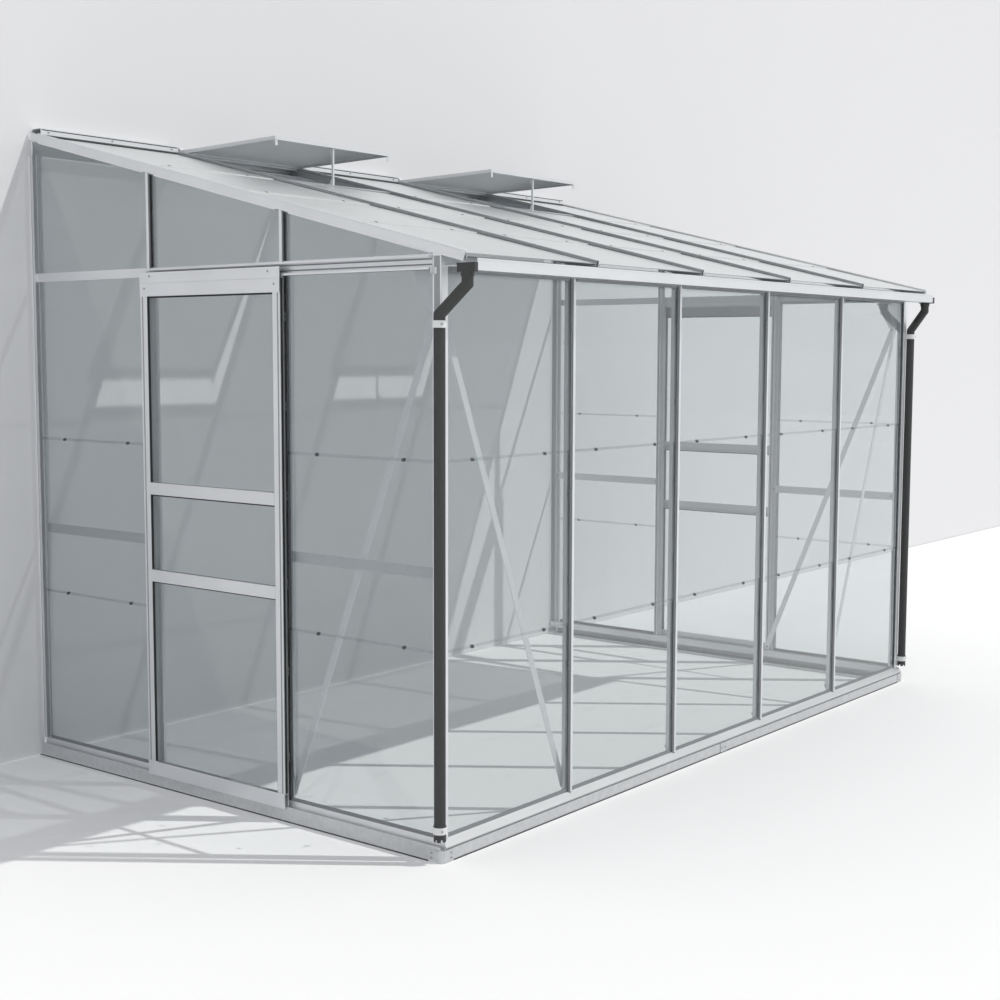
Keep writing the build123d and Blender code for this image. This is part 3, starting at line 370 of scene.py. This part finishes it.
def new_object(name, bm, finish):
    """Turns gathered faces into a named object with one finish."""
    mesh = bpy.data.meshes.new(name)
    bm.to_mesh(mesh)
    bm.free()
    mesh.materials.append(finish)
    made = bpy.data.objects.new(name, mesh)
    bpy.context.scene.collection.objects.link(made)
    return made


def piece(name, bm, finish, body="frame", smooth=False):
    """Makes a piece of the object, which moves with its body."""
    bmesh.ops.recalc_face_normals(bm, faces=bm.faces[:])
    made = new_object(name, bm, finish)
    if smooth:
        made.data.shade_smooth()
    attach(made, body)


def circle(radius, sides):
    return [(radius * cos(2 * pi * k / sides), radius * sin(2 * pi * k / sides)) for k in range(sides)]


def in_mm(points):
    return [tuple(value * MM for value in point) for point in points]


def bar_x(index):
    return LEFT + index * BAY


def bar_y(index):
    return FRONT + index * BAY


def roof_height(y):
    return ROOF_AT_FRONT + (y - FRONT) * ROOF_RISE / ROOF_RUN


def roof_point(x, along):
    return Vector((x, FRONT, ROOF_AT_FRONT)) + SLOPE * along


def roof_laps():
    """The bay and the distance up the slope of each place where a roof pane laps what is below it."""
    for row in range(1, ROOF_ROWS + 1):
        for bay in range(FRONT_BAYS) if row < ROOF_ROWS else COVERED_BAYS:
            yield bay, ROOF_FOOT + row * (VENT_FOOT - ROOF_FOOT) / ROOF_ROWS


def straight(start, way, length):
    """The two ends of a straight run."""
    return [start, start + way * length]


def across_bay(bay, inset, y, z):
    """The two ends of a run along the front of a bay, set in from the bar lines at both ends."""
    return straight(Vector((bar_x(bay) + inset, y, z)), X, BAY - 2 * inset)


# Glazing strips: a root beside each glass edge and a lip pressed on the glass. The front has thin grey ones,
# the gables black rubber, the roof bars darker grey ones whose grey paints the shade of the bars' sides, and
# the outer roof edges pale ones.
STRIP = in_mm(((7.1, 0.3), (8.5, 0.3), (8.5, 6.9), (12.0, 6.9), (12.4, 7.5), (11.6, 8.3), (7.1, 8.6)))
THIN_STRIP = in_mm(((7.1, 0.3), (8.5, 0.3), (8.5, 6.8), (10.2, 6.8), (10.6, 7.2), (10.0, 7.7), (7.1, 7.8)))
VERGE_STRIP = in_mm(((-11.5, 3.2), (-5, 6.8), (-5, 13.4), (-6, 14), (-11.5, 14)))
STRIP_END = 1 * MM  # gap left at a strip's end
ROOF_STRIP_END = 2 * MM
EAVE_COVER = 9 * MM  # how far the eave beam covers the front strips
VERGE_COVER = 26 * MM  # how far the roof edge bar covers the gable strips

front_strips = bmesh.new()
for i in INNER_BARS:
    foot = Vector((bar_x(i), FRONT, SILL_TOP + STRIP_END))
    for side in (-X, X):
        sweep(front_strips, THIN_STRIP, straight(foot, UP, HEAD_BOTTOM - EAVE_COVER - foot.z), side, -Y)
piece("front_glazing_strips", front_strips, BEAD_PVC)

gable_strips = bmesh.new()
for j, side in ((DOOR_BAY, -Y), (DOOR_BAY + 1, Y)):
    foot = Vector((LEFT, bar_y(j), SILL_TOP + STRIP_END))
    sweep(gable_strips, STRIP, straight(foot, UP, HEAD_BOTTOM - STRIP_END - foot.z), side, -X)
    foot = Vector((LEFT, bar_y(j), HEAD_TOP + STRIP_END))
    top = roof_height(bar_y(j) - FLANGE) - VERGE_COVER
    for upper_side in (-Y, Y):
        sweep(gable_strips, STRIP, straight(foot, UP, top - foot.z), upper_side, -X)
mirrored(gable_strips)
piece("gable_glazing_strips", gable_strips, STRIP_RUBBER)

roof_strips = bmesh.new()
for i in INNER_BARS:
    for bay, side in ((i - 1, -X), (i, X)):
        top = VENT_FOOT if bay in VENT_BAYS else ROOF_TOP
        ends = [roof_point(bar_x(i), along) for along in (ROOF_FOOT + ROOF_STRIP_END, top)]
        sweep(roof_strips, STRIP, ends, side, ROOF_UP)
piece("roof_glazing_strips", roof_strips, SHADE_GREY_PVC)

verge_strips = bmesh.new()
ends = [roof_point(LEFT, along) for along in (ROOF_FOOT + ROOF_STRIP_END, ROOF_TOP)]
sweep(verge_strips, VERGE_STRIP, ends, X, ROOF_UP)
mirrored(verge_strips)
piece("verge_strips", verge_strips, PALE_PVC)

# Grey beads that seal the foot of each lapped roof pane.
LAP_BEAD = in_mm(((-11.9, 3.2), (-10.05, 3.2), (-10.05, 6.9), (-10.8, 7.1)))
LAP_BEAD_INSET = 16 * MM
lap_beads = bmesh.new()
for i, along in roof_laps():
    lap = roof_point(0, along)
    sweep(lap_beads, LAP_BEAD, across_bay(i, LAP_BEAD_INSET, lap.y, lap.z), SLOPE, ROOF_UP)
piece("roof_lap_beads", lap_beads, GREY_PVC)

# Pale beads where the gable glass meets the roof edge, grey ones at the eave that paint the shade under the
# gutter, black rubber at the ridge.
EAVE_SHADE_BEAD = in_mm(((3.2, -4), (3.2, -26), (5, -27), (11, -22), (12, -4)))
VERGE_SEAL = in_mm(((7.2, -28), (11.4, -27), (11.6, -19), (7.2, -19)))
VERGE_SEAL_INSETS = (24 * MM, 42 * MM)  # from the bar lines at the front and the back of a bay
RIDGE_FOOT_SEAL = in_mm(((0.3, 3.2), (7, 1.6), (7.5, 5), (2, 11), (0.3, 11)))
RIDGE_GROOVE_SEAL = in_mm(((0.1, -8.5), (0.7, -8.2), (0.7, -4.8), (0.1, -4.5)))
RIDGE_SEAL_INSET = 12 * MM
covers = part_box("ridge_covers")
verge_beads = bmesh.new()
for j in range(GABLE_BAYS):
    levels = (j * BAY + VERGE_SEAL_INSETS[0], (j + 1) * BAY - VERGE_SEAL_INSETS[1])
    sweep(verge_beads, VERGE_SEAL, [roof_point(LEFT, level / SLOPE.y) for level in levels], -X, ROOF_UP)
mirrored(verge_beads)
piece("verge_beads", verge_beads, PALE_PVC)

eave_shade_beads = bmesh.new()
for i in range(FRONT_BAYS):
    sweep(eave_shade_beads, EAVE_SHADE_BEAD, across_bay(i, FLANGE, FRONT, HEAD_BOTTOM), -Y, UP)
piece("eave_shade_beads", eave_shade_beads, BEAD_PVC)

# The ridge rubbers are real seals that are also dark enough to paint the shade lines at the cover's foot and
# in its groove.
ridge_rubbers = bmesh.new()
for i in COVERED_BAYS:
    for section, height in ((RIDGE_FOOT_SEAL, covers[0].z), (RIDGE_GROOVE_SEAL, covers[1].z)):
        sweep(ridge_rubbers, section, across_bay(i, RIDGE_SEAL_INSET, covers[0].y, height), -Y, UP)
piece("ridge_rubbers", ridge_rubbers, STRIP_RUBBER)

# A grey strip on the gable face of each corner post: painted shade for a recess in that face.
CORNER_STRIP = in_mm(((-10, 14.05), (16, 14.05), (15.6, 14.6), (-9.6, 14.6)))
CORNER_STRIP_FOOT = 4 * MM  # above the sill
CORNER_STRIP_HEAD = 28 * MM  # above the front glass
corner_strips = bmesh.new()
foot = Vector((LEFT, FRONT, SILL_TOP + CORNER_STRIP_FOOT))
sweep(corner_strips, CORNER_STRIP, straight(foot, UP, HEAD_BOTTOM + CORNER_STRIP_HEAD - foot.z), Y, -X)
mirrored(corner_strips)
piece("corner_strips", corner_strips, SHADE_GREY_PVC)

# A grey bead on the sill along the foot of the lowest panes.
SILL_SEAL = in_mm(((6.8, 0), (8.9, 0), (8.9, 12), (8.2, 14), (6.8, 14)))
sill_beads = bmesh.new()
for j in FIXED_BAYS:
    start = Vector((LEFT, bar_y(j) + FLANGE, SILL_TOP))
    sweep(sill_beads, SILL_SEAL, straight(start, Y, BAY - 2 * FLANGE), -X, UP)
mirrored(sill_beads)
for i in range(FRONT_BAYS):
    sweep(sill_beads, SILL_SEAL, across_bay(i, FLANGE, FRONT, SILL_TOP), -Y, UP)
piece("sill_beads", sill_beads, BEAD_PVC)

# A dark strip showing a little under the base, between the corner cleats and the wall: painted shade of the
# gap where the base meets the floor.
FOOT_STRIP = in_mm(((26, 0), (36, 0), (36.4, 1.8), (36, 3.6), (26, 3.6)))
CLEAT_END = 27 * MM
foot_strips = bmesh.new()
start = Vector((LEFT, FRONT + CLEAT_END, 0))
sweep(foot_strips, FOOT_STRIP, straight(start, Y, WALL - start.y), -X, UP)
mirrored(foot_strips)
start = Vector((LEFT + CLEAT_END, FRONT, 0))
sweep(foot_strips, FOOT_STRIP, straight(start, X, RIGHT - CLEAT_END - start.x), -Y, UP)
piece("foot_strips", foot_strips, STRIP_RUBBER)

# Lap clips: a folded strip that hooks over the lower pane's head and under the upper pane's foot.
CLIP_SHARES = (0.22, 0.78)  # of the bay
CLIP_SECTION = in_mm(((-6, -0.35), (6, -0.35), (6, 0.35), (-6, 0.35)))
LAP_FOLD = in_mm((
    (-0.7, -9), (-0.7, 0.7), (3.25, 0.7), (3.25, -10.7), (7.3, -10.7), (7.3, -3.5), (8.4, -2.2),
))


def lap_clip(bm, place, across, out, along):
    sweep(bm, CLIP_SECTION, [place + out * o + along * a for o, a in LAP_FOLD], across, out)


wall_clips = bmesh.new()
for row in range(1, WALL_ROWS):
    height = SILL_TOP + row * PANE_PITCH
    for share in CLIP_SHARES:
        for i in range(FRONT_BAYS):
            lap_clip(wall_clips, Vector((bar_x(i) + share * BAY, FRONT, height)), X, -Y, UP)
        for j in FIXED_BAYS:
            for side in (-X, X):
                place = Vector((side.x * RIGHT, bar_y(j) + share * BAY, height))
                lap_clip(wall_clips, place, Y, side, UP)
piece("wall_lap_clips", wall_clips, STEEL_CLIP)

roof_clips = bmesh.new()
for i, along in roof_laps():
    for share in CLIP_SHARES:
        lap_clip(roof_clips, roof_point(bar_x(i) + share * BAY, along), X, ROOF_UP, SLOPE)
piece("roof_lap_clips", roof_clips, STEEL_CLIP)

# Spring clips: bent wire that presses each glazing strip on the glass.
WIRE = circle(1.1 * MM, sides=6)
WIRE_BENDS = in_mm((
    (8.4, 10.2, -17), (13.5, 9.0, -11), (13.5, 9.0, -7), (8.8, 12.2, 0), (13.5, 9.0, 7), (13.5, 9.0, 11),
    (8.4, 10.2, 17),
))
SPRING_SHARES = (0.25, 0.75)  # of the pane's height


def spring_clip(bm, place, across, out):
    sweep(bm, WIRE, [place + across * a + out * o + UP * rise for a, o, rise in WIRE_BENDS], out, across)


spring_clips = bmesh.new()
for row in range(WALL_ROWS):
    for share in SPRING_SHARES:
        height = SILL_TOP + (row + share) * PANE_PITCH
        for i in INNER_BARS:
            for side in (-X, X):
                spring_clip(spring_clips, Vector((bar_x(i), FRONT, height)), side, -Y)
        for gable in (-X, X):
            for j, side in ((DOOR_BAY, -Y), (DOOR_BAY + 1, Y)):
                spring_clip(spring_clips, Vector((gable.x * RIGHT, bar_y(j), height)), side, gable)
piece("spring_clips", spring_clips, ZINC, smooth=True)

# Screws, bolts and nuts, each with its socket or six flats.
PAN_HEAD = ((4.8, 0), (4.8, 0.9), (4.0, 2.1), (2.3, 2.8), (1.9, 1.5))
WASHER = ((7.0, 0), (7.0, 1.0), (6.6, 1.3), (5.5, 1.3))
HEXAGON = ((5.6, 1.2), (5.6, 4.6), (4.9, 5.2), (2.8, 5.3))
SHANK = ((2.9, 5.0), (2.9, 8.0), (2.4, 8.6))


def screw(bm, place, axis):
    turned(bm, PAN_HEAD, place, axis, sides=14)


def nut(bm, place, axis):
    turned(bm, WASHER, place, axis, sides=16)
    turned(bm, HEXAGON, place, axis, sides=6)
    turned(bm, SHANK, place, axis, sides=10)


# Outside screws: in the base's corner cleats and joint plate, the pipe clips and the ridge covers.
CLEAT_FACE = 36.5 * MM  # out from the glass line
CLEAT_SCREW_IN = 12 * MM
CLEAT_SCREW_HEIGHTS = (15 * MM, 33 * MM)
JOINT_SCREW_APART = 14 * MM  # from the middle of the front
JOINT_SCREW_HEIGHT = 24 * MM
PIPE_OUT, PIPE_AHEAD = 37 * MM, 27 * MM  # the downpipe's middle from the corner
PIPE_CLIP_HEIGHTS = (1834 * MM, 121 * MM)
PIPE_CLIP_RADIUS = 23.8 * MM
PIPE_SCREW_AXIS = Vector((-0.5, -0.866, 0))
COVER_SCREW_SHARES = (0.06, 0.5, 0.94)  # of the bay
COVER_SCREW_DROP = 14 * MM
frame_screws = bmesh.new()
for height in CLEAT_SCREW_HEIGHTS:
    screw(frame_screws, Vector((LEFT - CLEAT_FACE, FRONT + CLEAT_SCREW_IN, height)), -X)
    screw(frame_screws, Vector((LEFT + CLEAT_SCREW_IN, FRONT - CLEAT_FACE, height)), -Y)
for height in PIPE_CLIP_HEIGHTS:
    middle = Vector((LEFT - PIPE_OUT, FRONT - PIPE_AHEAD, height))
    screw(frame_screws, middle + PIPE_SCREW_AXIS * PIPE_CLIP_RADIUS, PIPE_SCREW_AXIS)
mirrored(frame_screws)
for side in (-X, X):
    middle = Vector((0, FRONT - CLEAT_FACE, JOINT_SCREW_HEIGHT))
    screw(frame_screws, middle + side * JOINT_SCREW_APART, -Y)
for i in COVERED_BAYS:
    for share in COVER_SCREW_SHARES:
        place = Vector((bar_x(i) + share * BAY, covers[0].y, covers[1].z - COVER_SCREW_DROP))
        screw(frame_screws, place, -Y)
piece("frame_screws", frame_screws, ZINC)

# Inside bolts: in the gussets and at the ends of the braces, the stiffeners and the front bars.
BAR_BACK = 25 * MM  # in from the glass line
BRACE_BACK = 28 * MM
BRACE_TOP_IN = 46 * MM
BRACE_FOOT, BRACE_TOP = SILL_TOP + 24 * MM, HEAD_BOTTOM - 165 * MM
GUSSET_BOLTS = in_mm(((36, 14), (110, 14), (36, 80)))  # from the corner, below the front glass's head
STIFFENER_BACK = 13 * MM
STIFFENER_POST_END = 34 * MM
BOLT_IN = 18 * MM  # from a bar's end, or from a bar line to a stiffener's end
inside_bolts = bmesh.new()
nut(inside_bolts, Vector((bar_x(1), FRONT + BRACE_BACK, BRACE_FOOT)), Y)
nut(inside_bolts, Vector((LEFT + BRACE_TOP_IN, FRONT + BRACE_BACK, BRACE_TOP)), Y)
nut(inside_bolts, Vector((LEFT + BRACE_BACK, bar_y(1), BRACE_FOOT)), X)
nut(inside_bolts, Vector((LEFT + BRACE_BACK, FRONT + BRACE_TOP_IN, BRACE_TOP)), X)
for across, drop in GUSSET_BOLTS:
    nut(inside_bolts, Vector((LEFT + across, FRONT + BAR_BACK, HEAD_BOTTOM - drop)), Y)
    nut(inside_bolts, Vector((LEFT + BAR_BACK, FRONT + across, HEAD_BOTTOM - drop)), X)
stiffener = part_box("gable_stiffeners")
stiffener_mid = (stiffener[0].z + stiffener[1].z) / 2
for y in (
    FRONT + STIFFENER_POST_END, bar_y(DOOR_BAY) - BOLT_IN,
    bar_y(DOOR_BAY + 1) + BOLT_IN, bar_y(GABLE_BAYS) - BOLT_IN,
):
    nut(inside_bolts, Vector((LEFT + STIFFENER_BACK, y, stiffener_mid)), X)
mirrored(inside_bolts)
for i in INNER_BARS:
    nut(inside_bolts, Vector((bar_x(i), FRONT + BAR_BACK, HEAD_BOTTOM - BOLT_IN)), Y)
    if i not in (INNER_BARS[0], INNER_BARS[-1]):
        nut(inside_bolts, Vector((bar_x(i), FRONT + BAR_BACK, SILL_TOP + BOLT_IN)), Y)
piece("inside_bolts", inside_bolts, ZINC)

# Grey strips along the back of each door track, under and over its rib, which paint the shade lines of the
# track's profile.
TRACK_SHADE_STRIP = in_mm(((12.6, 0), (13.1, 0.3), (13.1, 4.7), (12.6, 5)))
TRACK_SHADE_LIFTS = (15 * MM, 33 * MM)
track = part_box("door_tracks")
track_shade_strips = bmesh.new()
for lift in TRACK_SHADE_LIFTS:
    start = Vector((LEFT, track[0].y + STRIP_END, track[0].z + lift))
    sweep(track_shade_strips, TRACK_SHADE_STRIP, straight(start, Y, track[1].y - STRIP_END - start.y), -X, UP)
mirrored(track_shade_strips)
piece("track_shade_strips", track_shade_strips, BEAD_PVC)

# A bent stop on each corner post that ends the door's run.
STOP = in_mm(((0, 0), (20, 0), (20, 2.5), (2.5, 2.5), (2.5, 12), (0, 12)))
STOP_HEIGHT = 22 * MM
STOP_DROP = 14 * MM  # below the track
POST_OUT, POST_BACK = 14 * MM, 15 * MM  # faces of the corner post from the glass lines
door_stops = bmesh.new()
foot = Vector((LEFT - POST_OUT, FRONT + POST_BACK, track[0].z - STOP_DROP))
sweep(door_stops, STOP, straight(foot, UP, STOP_HEIGHT), -X, -Y)
mirrored(door_stops)
piece("door_stops", door_stops, GREY_PVC)

# Vent fittings: a hinge bead along the ridge side, a bracket at each end of the prop, a hook under each
# free corner and a cap on each end of the hinge.
HINGE_BEAD = circle(4.2 * MM, sides=10)
HINGE_BEAD_IN, HINGE_BEAD_LIFT = 4.7 * MM, 12.7 * MM
HINGE_BEAD_INSET = 16 * MM
ANGLE = in_mm(((0, 0), (20, 0), (20, 2), (2, 2), (2, 24), (0, 24)))
BRACKET = 24 * MM
PROP_HEAD_IN, PROP_HEAD_DROP = 0.1 * MM, 1.2 * MM
PROP_FOOT_IN, PROP_FOOT_LIFT = 1 * MM, 9.4 * MM
HOOK = 14 * MM
HOOK_INSET, HOOK_IN, HOOK_DROP = 10 * MM, 1 * MM, 16.4 * MM
HINGE_CAP = in_mm(((3, 1.2), (46, 11.9), (46, 27), (12, 28), (3, 20)))
CAP = 22 * MM
CAP_INSET, CAP_LIFT = 8.5 * MM, 6.7 * MM
vent_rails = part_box("vent_rails")
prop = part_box("vent_props")
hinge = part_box("vent_hinge_rails")
vent_fittings = bmesh.new()
hinge_caps = bmesh.new()
for i in VENT_BAYS:
    bead = across_bay(i, HINGE_BEAD_INSET, hinge[0].y + HINGE_BEAD_IN, hinge[0].z + HINGE_BEAD_LIFT)
    sweep(vent_fittings, HINGE_BEAD, bead, Y, UP)
    bracket_x = bar_x(i) + (BAY - BRACKET) / 2
    head = Vector((bracket_x, prop[1].y + PROP_HEAD_IN, prop[1].z - PROP_HEAD_DROP))
    sweep(vent_fittings, ANGLE, straight(head, X, BRACKET), Y, -UP)
    foot_y = prop[1].y + PROP_FOOT_IN
    foot = Vector((bracket_x, foot_y, roof_height(foot_y) + PROP_FOOT_LIFT))
    sweep(vent_fittings, ANGLE, straight(foot, X, BRACKET), SLOPE, ROOF_UP)
    for corner in (bar_x(i) + HOOK_INSET, bar_x(i + 1) - HOOK_INSET - HOOK):
        hook = Vector((corner, vent_rails[0].y + HOOK_IN, vent_rails[1].z - HOOK_DROP))
        sweep(vent_fittings, ANGLE, straight(hook, X, HOOK), Y, -UP)
    for end in (bar_x(i) + CAP_INSET, bar_x(i + 1) - CAP_INSET - CAP):
        cap = Vector((end, hinge[0].y, hinge[0].z + CAP_LIFT))
        sweep(hinge_caps, HINGE_CAP, straight(cap, X, CAP), Y, UP)
piece("vent_fittings", vent_fittings, FLAT)
piece("hinge_caps", hinge_caps, GREY_PVC)

# Doors: rubber round the panes, a black seal in the edge groove, a grey strip down each stile that paints the
# shade of a groove in its face, and a fixing screw and an axle screw at each end of the head plate.
GASKET = in_mm((
    (30, 30.7), (43, 30.7), (43, 31.8), (41.5, 33.5), (41.2, 40.5), (40.2, 40.5), (40.2, 38.3), (30, 38.3),
))
GASKET_END = 0.4 * MM
TOP_GASKET = in_mm(((30.7, -0.3), (39, -0.3), (39, -2), (32, -6.5), (30.7, -6.5)))
TOP_GASKET_INSET = 43.4 * MM  # between the gaskets of the two stiles
EDGE_SEAL = in_mm(((5.8, 26), (5.8, 38), (3, 38), (3, 34), (0.6, 33), (0.6, 31), (3, 30), (3, 26)))
STILE_STRIP = in_mm(((9, 0.05), (16, 0.05), (15.6, 0.5), (9.4, 0.5)))
LOW_RAIL_LIFT = 785 * MM  # of the lower middle rail, above the foot of the bottom rail
MIDDLE_RAIL = 47 * MM
PLATE_SCREW_IN, PLATE_SCREW_DROP = 28 * MM, 62 * MM
AXLE_IN = 60 * MM
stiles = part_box("left_door_stiles")
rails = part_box("left_door_rails")
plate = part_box("left_door_head")
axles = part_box("left_door_rollers")
axle_mid = (axles[0].z + axles[1].z) / 2
low_rail = rails[0].z + LOW_RAIL_LIFT
high_rail = rails[1].z - MIDDLE_RAIL
pane_spans = ((stiles[0].z, low_rail), (low_rail + MIDDLE_RAIL, high_rail), (rails[1].z, stiles[1].z))
for gable, name in ((-X, "left_door"), (X, "right_door")):
    gaskets = bmesh.new()
    edge_seals = bmesh.new()
    stile_strips = bmesh.new()
    screws = bmesh.new()
    for edge, inward in ((stiles[0].y, Y), (stiles[1].y, -Y)):
        foot = Vector((gable.x * RIGHT, edge, 0))
        for low, high in pane_spans:
            ends = [foot + UP * (low + GASKET_END), foot + UP * (high - GASKET_END)]
            sweep(gaskets, GASKET, ends, inward, gable)
        sweep(edge_seals, EDGE_SEAL, [foot + UP * stiles[0].z, foot + UP * stiles[1].z], inward, gable)
        foot = Vector((gable.x * abs(stiles[0].x), edge, 0))
        ends = [foot + UP * (stiles[0].z + STRIP_END), foot + UP * (plate[0].z - STRIP_END)]
        sweep(stile_strips, STILE_STRIP, ends, inward, gable)
        plate_edge = Vector((gable.x * abs(plate[0].x), edge, 0))
        screw(screws, plate_edge + inward * PLATE_SCREW_IN + UP * (plate[1].z - PLATE_SCREW_DROP), gable)
        screw(screws, plate_edge + inward * AXLE_IN + UP * axle_mid, gable)
    for height in (low_rail, high_rail, plate[0].z):
        start = Vector((gable.x * RIGHT, stiles[0].y + TOP_GASKET_INSET, height))
        ends = straight(start, Y, stiles[1].y - TOP_GASKET_INSET - start.y)
        sweep(gaskets, TOP_GASKET, ends, gable, UP)
    piece(name + "_gaskets", gaskets, STRIP_RUBBER, name)
    piece(name + "_stile_strips", stile_strips, SHADE_GREY_PVC, name)
    piece(name + "_edge_seals", edge_seals, STRIP_RUBBER, name)
    piece(name + "_screws", screws, ZINC, name)

# Camera, matched to the photograph's viewpoint.
VIEW_PLACE = Vector((-5.7408, -4.3647, 1.7347))
VIEW_AHEAD = Vector((0.7812, 0.6170, -0.0952)).normalized()
VIEW_ROLL = 0.00287
SENSOR_WIDTH = 36.0
LENS = 54.77
FARTHEST = 200.0
camera = bpy.data.cameras.new("viewpoint")
camera.sensor_width = SENSOR_WIDTH
camera.lens = LENS
camera.clip_end = FARTHEST
viewpoint = bpy.data.objects.new("viewpoint", camera)
bpy.context.scene.collection.objects.link(viewpoint)
level = VIEW_AHEAD.cross(UP).normalized()
upright = level.cross(VIEW_AHEAD)
right = (level + upright * VIEW_ROLL).normalized()
top = (upright - level * VIEW_ROLL).normalized()
turn = Matrix((right, top, -VIEW_AHEAD)).transposed().to_4x4()
viewpoint.matrix_world = Matrix.Translation(VIEW_PLACE) @ turn
bpy.context.scene.camera = viewpoint

# Stage: a pale floor, and a pale backdrop where the house wall would be.
TOUCHING = 20 * MM
REACH = 40.0
BEHIND = WALL + 3 * MM


def matt_paint(name, colour):
    """Matt painted studio surface, clear from behind and to rays that start from a part that touches it,
    so that it neither hides nor blackens the part's back."""
    made, tree = new_material(name)
    paint = add(tree, "ShaderNodeBsdfDiffuse", Color=linear(colour))
    back = add(tree, "ShaderNodeNewGeometry")
    ray = add(tree, "ShaderNodeLightPath")
    near = add(tree, "ShaderNodeMath", {"operation": "LESS_THAN"}, i0=(ray, "Ray Length"), i1=TOUCHING)
    clear = add(tree, "ShaderNodeMath", {"operation": "MAXIMUM"}, i0=(back, "Backfacing"), i1=(near, "Value"))
    nothing = add(tree, "ShaderNodeBsdfTransparent")
    skin = add(tree, "ShaderNodeMixShader", i0=(clear, "Value"), i1=(paint, "BSDF"), i2=(nothing, "BSDF"))
    finish_surface(tree, skin, "Shader")
    return made


def stage_sheet(name, corners, finish):
    bm = bmesh.new()
    bm.faces.new([bm.verts.new(corner) for corner in corners])
    new_object(name, bm, finish)


floor_corners = [(-REACH, -REACH, 0), (REACH, -REACH, 0), (REACH, REACH, 0), (-REACH, REACH, 0)]
wall_corners = [(-REACH, BEHIND, 0), (REACH, BEHIND, 0), (REACH, BEHIND, REACH), (-REACH, BEHIND, REACH)]
stage_sheet("floor", floor_corners, matt_paint("pale_floor", "#F7F7F8"))
stage_sheet("backdrop", wall_corners, matt_paint("pale_backdrop", "#E3E3E5"))

# Light: an even pale sky, white to the camera and in mirrors, and one clear sun from the camera's right.
SKY_LIGHT = 0.66
SKY_WHITE = 1.0
SUN_LIGHT = 1.75
SUN_SPREAD = 0.012
TO_SUN = Vector((0.374, -0.507, 0.777))
world = bpy.data.worlds.new("studio_sky")
bpy.context.scene.world = world
world.use_nodes = True
sky = world.node_tree
sky.nodes.clear()
ray = add(sky, "ShaderNodeLightPath")
mirror = add(sky, "ShaderNodeMath", {"operation": "MAXIMUM"},
             i0=(ray, "Is Glossy Ray"), i1=(ray, "Is Transmission Ray"))
any_eye = add(sky, "ShaderNodeMath", {"operation": "MAXIMUM"},
              i0=(ray, "Is Camera Ray"), i1=(mirror, "Value"))
strength = add(sky, "ShaderNodeMapRange", Value=(any_eye, "Value"), To_Min=SKY_LIGHT, To_Max=SKY_WHITE)
glow = add(sky, "ShaderNodeBackground", Color=linear("#F6F8FA"), Strength=(strength, "Result"))
add(sky, "ShaderNodeOutputWorld", Surface=(glow, "Background"))
lamp = bpy.data.lights.new("sun", "SUN")
lamp.energy = SUN_LIGHT
lamp.angle = SUN_SPREAD
lamp.color = linear("#FFFDF9")[:3]
sun = bpy.data.objects.new("sun", lamp)
sun.rotation_euler = TO_SUN.to_track_quat("Z", "Y").to_euler()
bpy.context.scene.collection.objects.link(sun)

bpy.context.scene.view_settings.view_transform = "Standard"
